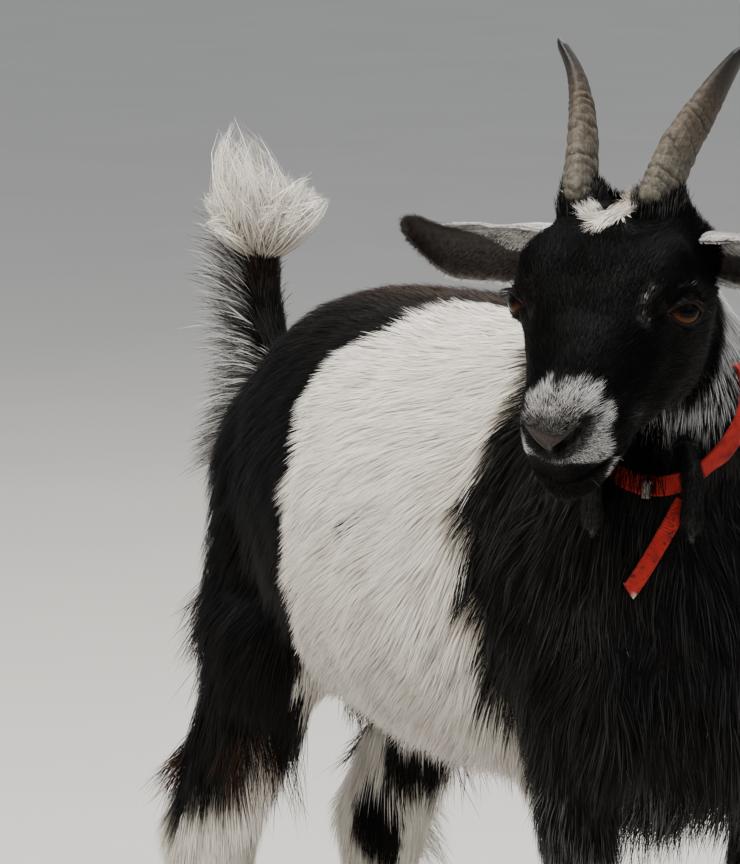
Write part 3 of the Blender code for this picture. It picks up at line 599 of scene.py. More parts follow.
def frostAndBare(points, head, onHead, warp):
    # the muzzle's white frost, and the bare nose pad that it surrounds
    hx, hy, hz = head.T
    outer = np.abs(hy)
    frostEdge = 0.0790 + 0.020 * ease(0.014, 0.028, outer) * ease(0.002, -0.030, hz)
    frostEdge += (0.006 * ease(-0.004, -0.016, hy) - 0.0030 * ease(0.012, 0.022, hy)
                  + 0.003 * ease(0.012, 0.002, outer))
    frostEdge += 0.0032 * waves(points, 0.006, 16)
    frost = ease(-0.0045, 0.0045, hx - frostEdge + 0.3 * warp) * onHead
    frost *= ease(-0.0225, -0.0155, hz + 0.50 * np.maximum(np.abs(hy + 0.003) - 0.009, 0) + 0.3 * warp)
    frost *= 1 - 0.85 * bell(nostrilsAway(head), 0.0030)
    across = hy - bodyPlan["noseAside"]
    padAway = np.hypot(across / 2.0, hz + 0.0034)
    # dark hairs mottle the frost round the pad, most in the middle under it
    frost *= 1 - 0.46 * ease(0.0170, 0.0085, padAway)
    frost *= 1 - 0.40 * bell(hy - markPlaces["lipMiddle"], 0.009) * ease(-0.007, -0.012, hz)
    wing, _ = offLine(np.stack((hx, np.abs(across), hz), axis=1), markPlaces["noseWing"])
    bare = np.maximum(ease(0.0066, 0.0044, padAway + 0.35 * warp), ease(0.0042, 0.0026, wing + 0.15 * warp))
    bare *= ease(0.098, 0.101, hx) * onHead
    return frost * (1 - bare), bare


def greyShare(points, body, head, onHead, warp, frost):
    x, y, z = body.T
    hx, hy, hz = head.T
    offHead = 1 - onHead
    neckSide = ease(0.150, 0.185, x) * ease(0.405, 0.47, z) * offHead * (x < 0.30)
    silver = 0.18 + 0.38 * ease(0.466, 0.496, z) + 0.14 * waves(points, 0.03, 13)
    silver += 0.45 * ease(0.502, 0.532, z) * ease(0.58, 0.56, z)
    silver = neckSide * np.clip(silver, 0, 1) * (1 - 0.45 * ease(0.01, 0.04, y))
    # single white hairs in the black of shoulders and forelegs; on the lower forelegs more grey is painted
    # sheen
    ahead = ease(0.100, 0.125, x)
    ticksAndSheen = ahead * (0.10 + 0.08 * waves(points, 0.045, 14)) * offHead
    ticksAndSheen += 0.14 * bell(x - 0.128, 0.014) * offHead
    # painted sheen: the lower forelegs get extra grey for the bluish-grey sheen on their black hair
    ticksAndSheen += 0.28 * ahead * ease(0.32, 0.26, z)
    fringe = 0.78 * ease(-0.262, -0.276, x) * ease(0.410, 0.465, z + 2 * warp)
    fringe += 0.10 * ease(-0.235, -0.245, x) * (z > 0.43)
    # both sides of the face at once, the left side stronger about the eye
    turned = head * (1, 0, 1) + (0, 1, 0) * np.abs(head[:, 1:2])
    brow = np.zeros(len(points))
    for *place, size in markPlaces["browHairs"]:
        brow = np.maximum(brow, 0.60 * bell(farFrom(turned, place), size))
    brow *= 0.25 + 0.75 * (hy > 0)
    brow = np.maximum(brow, 0.72 * bell(offLine(turned, markPlaces["lipCorner"])[0], 0.0032))
    brow = np.maximum(brow, 0.40 * bell(farFrom(turned, markPlaces["cheekFleck"]), 0.0060))
    jaw = 0.16 * bell(hz + 0.050, 0.012) * ease(0.022, 0.032, np.abs(hy)) * ease(0.06, 0.04, hx)
    chin = 0.30 * ease(-0.045, -0.060, hz) * ease(0.060, 0.075, hx)
    face = np.maximum.reduce([brow, jaw, chin, np.full(len(points), 0.001)]) * onHead
    return np.maximum.reduce([frost * 0.84, silver, ticksAndSheen, fringe, face])


def brownShare(body, onHead):
    x, y, z = body.T
    spine = bell(np.abs(y), 0.035) * ease(0.50, 0.53, z) * (1 - onHead)
    trail = 0.35 * ease(-0.215, -0.240, x) * ease(0.40, 0.33, z)
    trail += 0.15 * ease(-0.15, -0.13, x) * ease(0.26, 0.22, z) * (x < -0.1)
    return np.clip(0.45 * spine + 0.55 * np.clip(trail, 0, 1), 0, 1)


def markings(points):
    # pale: the white; grey: share of grey and white hairs in the black; brown: share of rusty hairs;
    # bare: skin that shows, on the nose and lips
    body, head = toBody(points), toHead(points)
    onHead = onHeadShare(head)
    warp = 0.006 * waves(points, 0.030, 11) + 0.003 * waves(points, 0.009, 12)
    frost, bare = frostAndBare(points, head, onHead, warp)
    return {
        "pale": paleShare(points, body, head, onHead, warp),
        "grey": greyShare(points, body, head, onHead, warp, frost),
        "brown": brownShare(body, onHead),
        "bare": np.clip(bare, 0, 1),
    }


# sizes of the horns, which the skin must meet

hornShape = {
    "root": (-0.058, 0.0250, 0.028),  # in the head's frame
    "aside": -0.004,
    "halfWidth": 0.0094,
    "halfDepth": 0.0166,
    "toeIn": 23,  # degrees that the front edges turn towards each other
    "path": (  # back, out, up from the root, and size
        (0.010, -0.001, -0.014, 1.00), (0.000, 0.000, 0.000, 1.00), (-0.029, 0.0045, 0.0105, 0.92),
        (-0.058, 0.0130, 0.0175, 0.73), (-0.078, 0.0220, 0.0262, 0.52), (-0.092, 0.0338, 0.0378, 0.27),
    ),
    "ringGap": 0.0058,  # mean distance between growth rings
    "ringHigh": 0.0017,
    "length": 0.118,
}


def hornRoot(side):
    return np.array(hornShape["root"]) * (1, side, 1) + (0, hornShape["aside"], 0)


# the skin

skinShape = {
    "swell": 0.0008,  # closes the thin cuts between the nodes before they melt together
    "voxel": 0.0054,
    "soften": 4,
    "shrinkSteps": 4,
    "eyeBed": 0.0134,  # radius of the flesh behind each eye
    "crownBed": ((-0.060, 0.025, 0.016), 0.0165),  # flesh between horn and ear, and its radius
    "crownBedAside": -0.002,
    "earBed": ((-0.056, 0.040, -0.008), 0.0135),
    "hornBeds": ((0.006, 0.0, -0.004), (0.0, 0.0, -0.001), (-0.005, 0.0005, 0.001)),  # from the horn's root
    "hornBedWide": 0.0135,
    "dockBone": (  # the middle of the tail
        (-0.225, 0, 0.425), (-0.243, 0, 0.462), (-0.258, 0, 0.500), (-0.264, 0, 0.540), (-0.265, 0, 0.556),
    ),
    "dockRadius": 0.0125,  # the tail's flesh under its long hair
    "headFrom": -0.092,  # finer mesh ahead of this, along the face
    "tearTrough": ((0.0190, 0.0430, 0.0125), (0.0260, 0.0375, 0.0105), (0.0340, 0.0330, 0.0075)),
    "tearDeep": 0.0014,
    "nostrilDeep": 0.0065,
    "nostrilWide": 0.0019,
    "wingHigh": 0.0011,  # the raised rim round each nostril
    "mouthDeep": 0.0026,
    "lipHigh": 0.0008,
    "lipGroove": ((0.1085, -0.0045, -0.009), (0.1115, -0.0060, -0.024), (0.1115, -0.0060, -0.035)),
    "grooveDeep": 0.0012,
    "padHigh": 0.0007,
}
fleshNodes = (
    "head", "neck", "trunk", "tail", "foreleg_left", "foreleg_right", "hindleg_left", "hindleg_right")


def fleshBeds():
    # flesh behind the eyes, and at the roots of horns and ears
    beds = []
    for side, word in bothSides:
        beds.append((boxCentre(f"eye_{word}"), skinShape["eyeBed"]))
        (x, y, z), radius = skinShape["crownBed"]
        beds.append((fromHead((x, side * y + skinShape["crownBedAside"], z)), radius))
        (x, y, z), radius = skinShape["earBed"]
        beds.append((fromHead((x, side * y, z)), radius))
    for side, word in bothSides:
        for back, out, rise in skinShape["hornBeds"]:
            beds.append((fromHead(hornRoot(side) + (back, side * out, rise)), skinShape["hornBedWide"]))
    return beds


def fleshCopy():
    copies = [nodeCopy(name) for name in fleshNodes]
    skin = joined(copies[-1], *copies[:-1])
    editAll(skin, mergeDoubles)
    writePoints(skin.data, readPoints(skin.data) + readNormals(skin.data) * skinShape["swell"])
    for place, radius in fleshBeds():
        bpy.ops.mesh.primitive_uv_sphere_add(segments=24, ring_count=14, radius=radius, location=place)
        skin = joined(skin, bpy.context.object)
    return skin


def keepLargest(obj):
    editAll(obj, (bpy.ops.mesh.separate, {"type": "LOOSE"}))
    parts = sorted(bpy.context.selected_objects, key=lambda part: len(part.data.vertices))
    for part in parts[:-1]:
        bpy.data.objects.remove(part)
    return parts[-1]


def thinTail(points):
    # the tail's solid has its hair's outline; its flesh is only a finger round the bone
    body = toBody(points)
    away, share = offLine(body, skinShape["dockBone"])
    nearest = alongRows(skinShape["dockBone"], share)
    wanted = np.minimum(away, skinShape["dockRadius"] * (1 - 0.35 * share))
    thin = nearest + (body - nearest) * (wanted / np.maximum(away, 1e-9))[:, None]
    amount = ease(-0.236, -0.250, body[:, 0]) * ease(0.425, 0.450, body[:, 2])
    return fromBody(body + (thin - body) * amount[:, None])


def insideCoat(skin):
    # draws the skin in by the height of the hair that will stand on it
    mesh = skin.data
    steps = skinShape["shrinkSteps"]
    for _ in range(steps):
        points = readPoints(mesh)
        _, length, lift = combed(points)
        depth = coatLook["depthShare"] * length * np.sin(lift)
        writePoints(mesh, points - readNormals(mesh) * (depth / steps)[:, None])
    writePoints(mesh, thinTail(readPoints(mesh)))
    modify(skin, ("SMOOTH", {"factor": 0.5, "iterations": 4}))


def refineHead(skin):
    # halves the faces of the head, then those of eyes and muzzle twice more, and evens the new points
    for part in ("head", "face", "detail"):
        head = toHead(faceCentres(skin.data))
        hx, hy, hz = head.T
        eyes = np.minimum(farFrom(head, eyeCentre(1)), farFrom(head, eyeCentre(-1)))
        pickFaces(skin, {
            "head": (hx > skinShape["headFrom"]) & (np.abs(hy) < 0.07) & (hz > -0.085),
            "face": (eyes < 0.030) | (hx > 0.070),
            "detail": (eyes < 0.0200) | ((hx > 0.088) & (hz > -0.042) & (hz < 0.009)),
        }[part])
        bpy.ops.mesh.subdivide(number_cuts=1)
        bpy.ops.mesh.vertices_smooth(factor=0.5, repeat=2)
        bpy.ops.object.mode_set(mode="OBJECT")


# eyes and lids

eyeShape = {
    "radius": 0.0130,
    "gaze": (0.549, 0.771, 0.321),  # from the head out through the goat's left pupil
    "inner": 54,  # half angles of the lids' opening, in degrees, from the gaze
    "outer": 45,
    "upper": 29,
    "lower": 25,
    "lidStands": 0.0009,  # how far the lids' inner faces stand off the ball
    "lidEdge": 0.0009,  # radius of the rounded rim
    "bulge": 0.0013,  # height of the cornea over the ball
    "corneaAngle": 53,
    "slotWide": 0.44,  # half sizes of the pupil, as shares of the ball's radius
    "slotHigh": 0.185,
}


def eyeCentre(side):
    return toHead(np.array(boxCentre("eye_left" if side > 0 else "eye_right")))


def eyeAxes(side):
    x, y, z = eyeShape["gaze"]
    gaze = unit(np.array((x, side * y, z)))
    up = headAxes.T @ np.array((0.0, 0.0, 1.0))
    outward = unit(np.cross(up, gaze)) * side  # level, towards the outer corner
    return gaze, outward, np.cross(gaze, outward) * side


def lidReach(across):
    return np.where(across > 0, eyeShape["outer"], eyeShape["inner"])


def lidHalf(across, above):
    # half height of the opening, in degrees, at an angle across it
    share = np.clip(np.abs(across) / lidReach(across), 0, 1)
    height = np.where(above, eyeShape["upper"], eyeShape["lower"])
    return height * np.clip(1 - share ** 2.2, 0, 1) ** 0.75


def offLids(head, side):
    # direction and distance from the eye's centre, share along the gaze, degrees above the eye's level,
    # and degrees outside the edge of the opening
    gaze, outward, up = eyeAxes(side)
    away = head - eyeCentre(side)
    far = np.linalg.norm(away, axis=1)
    way = away / np.maximum(far, 1e-9)[:, None]
    facing = way @ gaze
    across = np.degrees(np.arctan2(way @ outward, facing))
    above = np.degrees(np.arctan2(way @ up, facing))
    past = np.maximum(np.abs(across) - lidReach(across), 0)
    edge = np.where(past > 0, np.hypot(past, above), np.abs(above) - lidHalf(across, above > 0))
    return way, far, facing, above, edge


def openLids(head, side):
    way, far, facing, above, edge = offLids(head, side)
    radius = eyeShape["radius"]
    low = radius + eyeShape["lidStands"] + 0.0009 * bell(edge - 4, 7)
    high = low + 0.00016 * np.maximum(edge - 3, 0)
    outside = np.clip(far, low, np.maximum(high, low))
    # a crease above the upper lid and one below the lower
    outside -= 0.0009 * bell(edge - 15, 3.5) * (above > 0) + 0.0006 * bell(edge - 17, 3.5) * (above < 0)
    opened = ease(1.0, -2.5, edge)
    wanted = outside * (1 - opened) + 0.82 * radius * opened
    amount = ease(0.05, 0.30, facing) * ease(radius * 1.9, radius * 1.35, far)
    return head + way * ((wanted - far) * amount)[:, None]


def sculptHead(skin):
    mesh = skin.data
    head = toHead(readPoints(mesh))
    close = (head[:, 0] > -0.1) & (np.abs(head[:, 1]) < 0.08) & (head[:, 2] > -0.09)
    shaped = head[close]
    facing = (readNormals(mesh) @ headAxes)[close]

    def raised(height):
        return shaped + facing * height[:, None]

    for side in (1, -1):
        shaped = openLids(shaped, side)
        # the tear trough from the inner corner down the face
        away, share = offLine(shaped, flipped(skinShape["tearTrough"], side))
        shaped = raised(-(skinShape["tearDeep"] * bell(away, 0.0026) * (1 - 0.7 * share)))
        # nostril, its wing, and the dip behind it
        away, share = offLine(shaped, nostrilPath(side))
        wide = skinShape["nostrilWide"] * (0.55 + 0.9 * np.sin(math.pi * np.clip(0.15 + 0.8 * share, 0, 1)))
        shaped = raised(skinShape["wingHigh"] * bell(away - 0.0036, 0.0016))
        inward = unit(facing * 0.6 + np.array((0.75, side * 0.2, 0.0)))
        shaped = shaped - inward * (skinShape["nostrilDeep"] * bell(away, wide))[:, None]
        # the lips meet in a fold
        away, share = offLine(shaped, mouthLine(side))
        lower = ease(0.000, -0.006, shaped[:, 2] + 0.0335) * ease(0.075, 0.09, shaped[:, 0])
        shaped = raised(-(skinShape["mouthDeep"] * bell(away, 0.0016) * (1 - 0.5 * share ** 3)))
        shaped = raised(skinShape["lipHigh"] * bell(away - 0.0040, 0.0022) * (1 - lower))
    groove, _ = offLine(shaped, skinShape["lipGroove"])
    shaped = raised(-(skinShape["grooveDeep"] * bell(groove, 0.0011)))
    pad = ease(0.100, 0.104, shaped[:, 0]) * bell(shaped[:, 2] + 0.001, 0.0065)
    pad *= bell(shaped[:, 1] - bodyPlan["noseAside"], 0.013)
    shaped = raised(skinShape["padHigh"] * pad)
    head[close] = shaped
    writePoints(mesh, fromHead(head))


def markSkin(mesh):
    setValues(mesh, **markings(readPoints(mesh)))
    head = toHead(readPoints(mesh))
    hx, hy, hz = head.T
    # painted shade: the nostrils' pits are painted near black; the pad is also made darker towards its
    # lower edge
    nostrilShade = bell(nostrilsAway(head), 0.0036) * ease(0.105, 0.099, hx - 0.004)
    low = ease(-0.0035, -0.0085, hz + 0.2 * (hy + 0.006)) * ease(0.098, 0.102, hx)
    setValues(mesh, dark=np.maximum(nostrilShade, 0.75 * low))


def goatSkinFinish():
    # goat skin under short hair: matt and faintly mottled; the bare nose is moist leather with fine pebbles
    finish, tree, shader, read = newFinish(
        "goatSkin", {"Roughness": 0.62, "Specular IOR Level": 0.10}, ("pale", "grey", "bare", "dark"))
    place = addNode(tree, "TexCoord").outputs["Object"]
    hair = addNode(  # clumps of hair roots about 2 mm apart
        tree, "TexNoise", {"Scale": 480.0, "Detail": 4.0, "Roughness": 0.65}, {"Vector": place})
    mixed = addNode(tree, "ValToRGB", {"stops": ((0.3, "#040303"), (0.75, "#0b0a08"))}, {"Fac": hair})
    for key, stops in (
        ("grey", ((0.35, "#1a1816"), (0.7, "#6f6a65"))),
        ("pale", ((0.3, "#c6baa7"), (0.7, "#e2dacb"))),
        ("bare", ((0.35, "#17100e"), (0.7, "#35261f"))),
    ):
        tone = addNode(tree, "ValToRGB", {"stops": stops}, {"Fac": hair})
        mixed = addNode(tree, "MixRGB", {}, {"Fac": read[key], "Color1": mixed, "Color2": tone})
    # painted shade: near black in the nostrils' pits; the pad is also darker towards its lower edge
    mixed = addNode(tree, "MixRGB", {"Color2": "#050303"}, {"Fac": read["dark"], "Color1": mixed})
    rough = addNode(tree, "MapRange", {"To Min": 0.62, "To Max": 0.36}, {"Value": read["bare"]})
    moist = addNode(tree, "MapRange", {"To Min": 0.08, "To Max": 0.28}, {"Value": read["bare"]})
    pebbles = addNode(  # the nose's leather has cells a little under 1 mm across
        tree, "TexVoronoi", {"Scale": 1300.0}, {"Vector": place})
    height = addNode(tree, "MixRGB", {}, {"Fac": read["bare"], "Color1": hair, "Color2": pebbles})
    relief = addNode(tree, "Bump", {"Strength": 0.45, "Distance": 0.0005}, {"Height": height})
    wire(tree, shader, {
        "Base Color": mixed, "Roughness": rough, "Specular IOR Level": moist, "Normal": relief,
    })
    return finish


def makeSkin():
    skin = fleshCopy()
    modify(skin, ("REMESH", {"mode": "VOXEL", "voxel_size": skinShape["voxel"]}),
           ("SMOOTH", {"factor": 0.5, "iterations": skinShape["soften"]}))
    skin = keepLargest(skin)
    skin.name = "skin"
    insideCoat(skin)
    refineHead(skin)
    sculptHead(skin)
    markSkin(skin.data)
    dress(skin, goatSkinFinish(), "coat", *fleshNodes)
    skin.data.calc_loop_triangles()
    print("skin made,", len(skin.data.loop_triangles), "triangles")
    return skin


skin = makeSkin()


def eyeFinish():
    # a wet eyeball: gold-brown iris with fine streaks and a slot of a pupil, under a clear glossy film
    finish, tree, shader, read = newFinish(
        "wetAmberEye", {"Roughness": 0.05, "IOR": 1.376, "Specular IOR Level": 0.13},
        ("across", "above", "ring", "pupil", "level"))
    spin = addNode(tree, "CombineXYZ", {}, {"X": read["across"], "Y": read["above"]})
    streaks = addNode(  # iris fibres, drawn at half a millimetre so that they show
        tree, "TexNoise", {"Scale": 2.2, "Detail": 5.0, "Roughness": 0.7, "Distortion": 0.6},
        {"Vector": spin})
    iris = addNode(tree, "ValToRGB", {
        "stops": ((0.30, "#190b02"), (0.46, "#4d2907"), (0.60, "#6d430e"), (0.76, "#8d6020")),
    }, {"Fac": streaks})
    # the iris darkens at its rim, and above, where the upper lid shades it
    for key, stops in (
        ("ring", ((0.72, "#ffffff"), (0.98, "#1a0d06"))),
        ("level", ((0.28, "#ffffff"), (0.48, "#9a5c44"), (0.60, "#2a1610"))),
    ):
        shade = addNode(tree, "ValToRGB", {"stops": stops}, {"Fac": read[key]})
        iris = addNode(
            tree, "MixRGB", {"blend_type": "MULTIPLY", "Fac": 1.0}, {"Color1": iris, "Color2": shade})
    slot = addNode(tree, "MixRGB", {"Color2": "#020202"}, {"Fac": read["pupil"], "Color1": iris})
    wire(tree, shader, {"Base Color": slot})
    return finish


def lidFinish():
    # the lids' rims: black hairless skin, damp along the eye, browner in the tear corner
    finish, tree, shader, read, _, tone = mottledFinish(
        "dampLidRim", {"Roughness": 0.45, "Specular IOR Level": 0.12}, 900.0, 3.0,
        ((0.35, "#060404"), (0.7, "#140d0b")), 0.3, 0.0003, ("tear",))
    mixed = addNode(tree, "MixRGB", {"Color2": "#2b1715"}, {"Fac": read["tear"], "Color1": tone})
    wire(tree, shader, {"Base Color": mixed})
    return finish


def makeEye(side, word, finish):
    bpy.ops.mesh.primitive_uv_sphere_add(segments=72, ring_count=48, radius=1.0)
    ball = bpy.context.object
    ball.name = f"eyeball_{word}"
    way = unit(readPoints(ball.data))
    gaze, outward, up = eyeAxes(side)
    # the sphere's pole looks along the gaze
    angle = np.degrees(np.arccos(np.clip(way[:, 2], -1, 1)))
    lift = eyeShape["bulge"] * np.clip(1 - (angle / eyeShape["corneaAngle"]) ** 2, 0, 1) ** 1.5
    far = eyeShape["radius"] + lift
    turned = way[:, :1] * outward + way[:, 1:2] * up * side + way[:, 2:] * gaze
    writePoints(ball.data, fromHead(eyeCentre(side) + turned * far[:, None]))
    editAll(ball, faceOut)
    sine = np.sin(np.radians(np.minimum(angle, 90)))
    across, above = turned @ outward, turned @ up
    ring = sine / math.sin(math.radians(eyeShape["corneaAngle"] - 3))
    # streaks run out from the pupil: noise is read by direction, and only slowly along the radius
    turn = np.arctan2(above, across)
    slot = (np.abs(across) / eyeShape["slotWide"]) ** 4 + (np.abs(above - 0.03) / eyeShape["slotHigh"]) ** 4
    setValues(
        ball.data, across=np.cos(turn) * 7 + ring, above=np.sin(turn) * 7,
        ring=np.where(angle > 90, 1.2, ring), level=above / 2 + 0.5,
        pupil=ease(1.25, 0.85, slot) * (angle < 90))
    dress(ball, finish, "eye", f"eye_{word}")


def makeLids(side, word, finish):
    bpy.ops.mesh.primitive_torus_add(
        major_segments=96, minor_segments=12, major_radius=1.0, minor_radius=0.25)
    rim = bpy.context.object
    rim.name = f"lidRim_{word}"
    x, y, height = readPoints(rim.data).T
    turn = np.arctan2(y, x)
    out = np.hypot(x, y) - 1
    gaze, outward, up = eyeAxes(side)
    across = lidReach(np.cos(turn)) * np.cos(turn)
    above = lidHalf(across, np.sin(turn) > 0) * np.sign(np.sin(turn))
    aside, raised = (np.tan(np.radians(angle))[:, None] for angle in (across, above))
    way = unit(gaze + aside * outward + raised * up)
    size = eyeShape["lidEdge"] * (1 + 0.5 * (np.sin(turn) > 0.2))
    sideways = unit(np.cos(turn)[:, None] * outward * 0.6 + np.sin(turn)[:, None] * up)
    middle = way * (eyeShape["radius"] + eyeShape["lidStands"])
    placed = middle + sideways * (out / 0.25 * size)[:, None] + way * (height / 0.25 * size * 0.9)[:, None]
    writePoints(rim.data, fromHead(eyeCentre(side) + placed))
    setValues(rim.data, tear=ease(-0.80, -0.97, np.cos(turn)))
    editAll(rim, faceOut)
    dress(rim, finish, "eye")


def makeEyes():
    wet, damp = eyeFinish(), lidFinish()
    for side, word in bothSides:
        makeEye(side, word, wet)
        makeLids(side, word, damp)
    print("eyes made")


makeEyes()


# round things bent along a path

def bentTube(name, segments, rings, place):
    # a sphere primitive, so that both ends are closed, drawn out along a path:
    # place(t, turn) gives the point for a share of the length and an angle round it
    bpy.ops.mesh.primitive_uv_sphere_add(segments=segments, ring_count=rings, radius=1.0)
    tube = bpy.context.object
    tube.name = name
    way = unit(readPoints(tube.data))
    t = np.degrees(np.arccos(np.clip(-way[:, 2], -1, 1))) / 180
    points, values = place(t, np.arctan2(way[:, 1], way[:, 0]))
    writePoints(tube.data, points)
    editAll(tube, faceOut)
    setValues(tube.data, along=t, **values)
    return tube


# horns

def hornFinish():
    # horn keratin: layered grey-brown sheath, scuffed matt near the root, worn smooth and dark at the tip
    finish, tree, shader, read = newFinish(
        "hornKeratin", {"Roughness": 0.5, "IOR": 1.54, "Specular IOR Level": 0.3},
        ("along", "ring", "reach", "over"))
    place = addNode(tree, "TexCoord").outputs["Object"]
    fibre = addNode(tree, "CombineXYZ", {}, {"X": read["reach"], "Y": read["over"], "Z": read["along"]})
    streaks = addNode(  # fibres half a millimetre wide that run the length of the horn
        tree, "TexNoise", {"Scale": 2.6, "Detail": 5.0, "Roughness": 0.65}, {"Vector": fibre})
    scuff = addNode(  # flaking layers 1 to 2 mm across
        tree, "TexNoise", {"Scale": 420.0, "Detail": 5.0, "Roughness": 0.7}, {"Vector": place})
    mixed = addNode(tree, "ValToRGB", {
        "stops": ((0.25, "#312d24"), (0.45, "#575246"), (0.60, "#6c6759"), (0.80, "#a39e90")),
    }, {"Fac": scuff})
    for source, amount, stops in (
        (read["along"], 1.0, ((0.20, "#ffffff"), (0.55, "#d0c1b3"), (0.74, "#83715f"), (0.92, "#2e241c"))),
        # painted shade in the grooves between the rings
        (read["ring"], 0.9, ((0.0, "#3c342a"), (0.30, "#a39c90"), (0.8, "#ffffff"))),
        (streaks, 0.5, ((0.35, "#8d8279"), (0.65, "#ffffff"))),
    ):
        shade = addNode(tree, "ValToRGB", {"stops": stops}, {"Fac": source})
        mixed = addNode(
            tree, "MixRGB", {"blend_type": "MULTIPLY", "Fac": amount}, {"Color1": mixed, "Color2": shade})
    rough = addNode(tree, "MapRange", {"From Min": 0.5, "From Max": 1.0, "To Min": 0.74, "To Max": 0.36},
                    {"Value": read["along"]})
    relief = addNode(tree, "Bump", {"Strength": 0.4, "Distance": 0.0005}, {"Height": scuff})
    furrows = addNode(
        tree, "Bump", {"Strength": 0.4, "Distance": 0.0005}, {"Height": streaks, "Normal": relief})
    wire(tree, shader, {"Base Color": mixed, "Roughness": rough, "Normal": furrows})
    return finish


def makeHorn(side, word, finish):
    path, flip = hornShape["path"], np.array((1, side, 1))
    toeIn = math.radians(hornShape["toeIn"])
    width = np.array((math.sin(toeIn), side * math.cos(toeIn), 0.0))

    def place(t, turn):
        spot = alongRows(path, t)
        ahead = alongRows(path, np.minimum(t + 0.01, 1)) - alongRows(path, np.maximum(t - 0.01, 0))
        middle = (np.array(hornShape["root"]) + spot[:, :3]) * flip + (0, hornShape["aside"], 0)
        forward = unit(ahead[:, :3] * flip)
        deep = unit(np.cross(forward, width))
        wide = np.cross(deep, forward)
        size = spot[:, 3] * np.sqrt(np.clip(t * 14, 0, 1))
        size *= np.sqrt(np.clip((1 - t) * 14, 0, 1)) * (0.66 + 0.34 * ease(0.15, 0.20, t))
        # rings are wavy and die out towards the tip
        travel = t * hornShape["length"] / hornShape["ringGap"]
        for high, roundIt, alongIt, start in (
            (0.28, 2, 0, side), (0.30, 0, 23, 0), (0.15, 3, 41, 0), (0.12, 5, 60, 0), (0.07, 9, -90, 0),
        ):
            travel = travel + high * np.sin(turn * roundIt + t * alongIt + start)
        wave = np.abs(np.sin(math.pi * travel)) ** 0.55
        fade = ease(0.10, 0.16, t) * ease(0.84, 0.52, t) * (0.72 + 0.28 * np.sin(t * 47 + side))
        ringHigh = hornShape["ringHigh"] * (wave - 0.5) * fade
        keel = 1 + 0.10 * np.clip(np.cos(turn - math.pi / 2), 0, 1) ** 6
        across = np.cos(turn) * (hornShape["halfWidth"] * size + ringHigh)
        out = np.sin(turn) * (hornShape["halfDepth"] * size * keel + ringHigh)
        points = fromHead(middle + wide * across[:, None] + deep * out[:, None])
        ring = wave * fade + (1 - fade)
        return points, {"ring": ring, "reach": np.cos(turn) * 5, "over": np.sin(turn) * 5}

    dress(bentTube(f"horn_sheath_{word}", 56, 150, place), finish, "horn", f"horn_{word}")


def makeHorns():
    finish = hornFinish()
    for side, word in bothSides:
        makeHorn(side, word, finish)
    print("horns made")


makeHorns()


# ears

earShape = {
    "root": (-0.056, 0.044, -0.008),
    "length": 0.116,
    "sunk": 0.012,  # this much of the leaf lies inside the head
    "halfWidth": 0.0228,
    "wall": 0.0016,
    "curl": 112,  # degrees that each half curls at the root
    "uncurl": 60,  # and how much less beyond its middle
    "shares": (0.56, 0.70, 0.84, 0.94, 0.96, 0.94, 0.86, 0.60),  # of the half width, from root to tip
    # how far the leaf's middle lies above a straight line: it hangs in a shallow bow and its tip lifts
    "sag": (0.000, -0.002, -0.005, -0.010, -0.013, -0.0128, -0.0085, 0.007),
}


def earRow(name, t):
    return alongRows(np.array(earShape[name])[:, None], t)[..., 0]


def earAxes(side):
    root = np.array(earShape["root"]) * (1, side, 1)
    along = unit(np.array((0.05, side * 0.99, 0.0)))
    opening = np.array((0.95, side * 0.10, 0.08))
    opening = unit(opening - along * (opening @ along))
    across = np.cross(opening, along)
    return root, along, opening, across


def alongEar(head, side):
    # share of the leaf's length, and how far above its middle in half widths
    root, along, _, across = earAxes(side)
    t = ((head - root) @ along + earShape["sunk"]) / earShape["length"]
    return t, ((head - root) @ (across * side) - earRow("sag", t)) / earShape["halfWidth"]


def earFinish():
    # thin skin over gristle: dark outside under the hair, frosted inside
    finish, tree, shader, read, mottle, dark = mottledFinish(
        "earLeather", {"Roughness": 0.6, "Specular IOR Level": 0.35}, 260.0, 4.0,
        ((0.3, "#0a0705"), (0.7, "#271b12")), 0.3, 0.0004, ("grey",))
    frosted = addNode(tree, "ValToRGB", {"stops": ((0.3, "#4d4843"), (0.7, "#99948f"))}, {"Fac": mottle})
    mixed = addNode(tree, "MixRGB", {}, {"Fac": read["grey"], "Color1": dark, "Color2": frosted})
    wire(tree, shader, {"Base Color": mixed})
    return finish


def earFrost(t, outside, aside):
    # silver hair covers the back of the ear near its root and comes over the upper rim there
    back = 0.94 * ease(0.95, 0.45, t) + 0.06
    rolled = 0.90 * ease(-0.35, -0.13, aside - 3.3 * np.maximum(t - 0.45, 0)) * ease(0.85, 0.72, t)
    lowRim = 0.92 * ease(-0.86, -0.95, aside / earRow("shares", t))
    return np.where(outside, back, np.maximum(np.maximum(rolled, lowRim), 0.06))


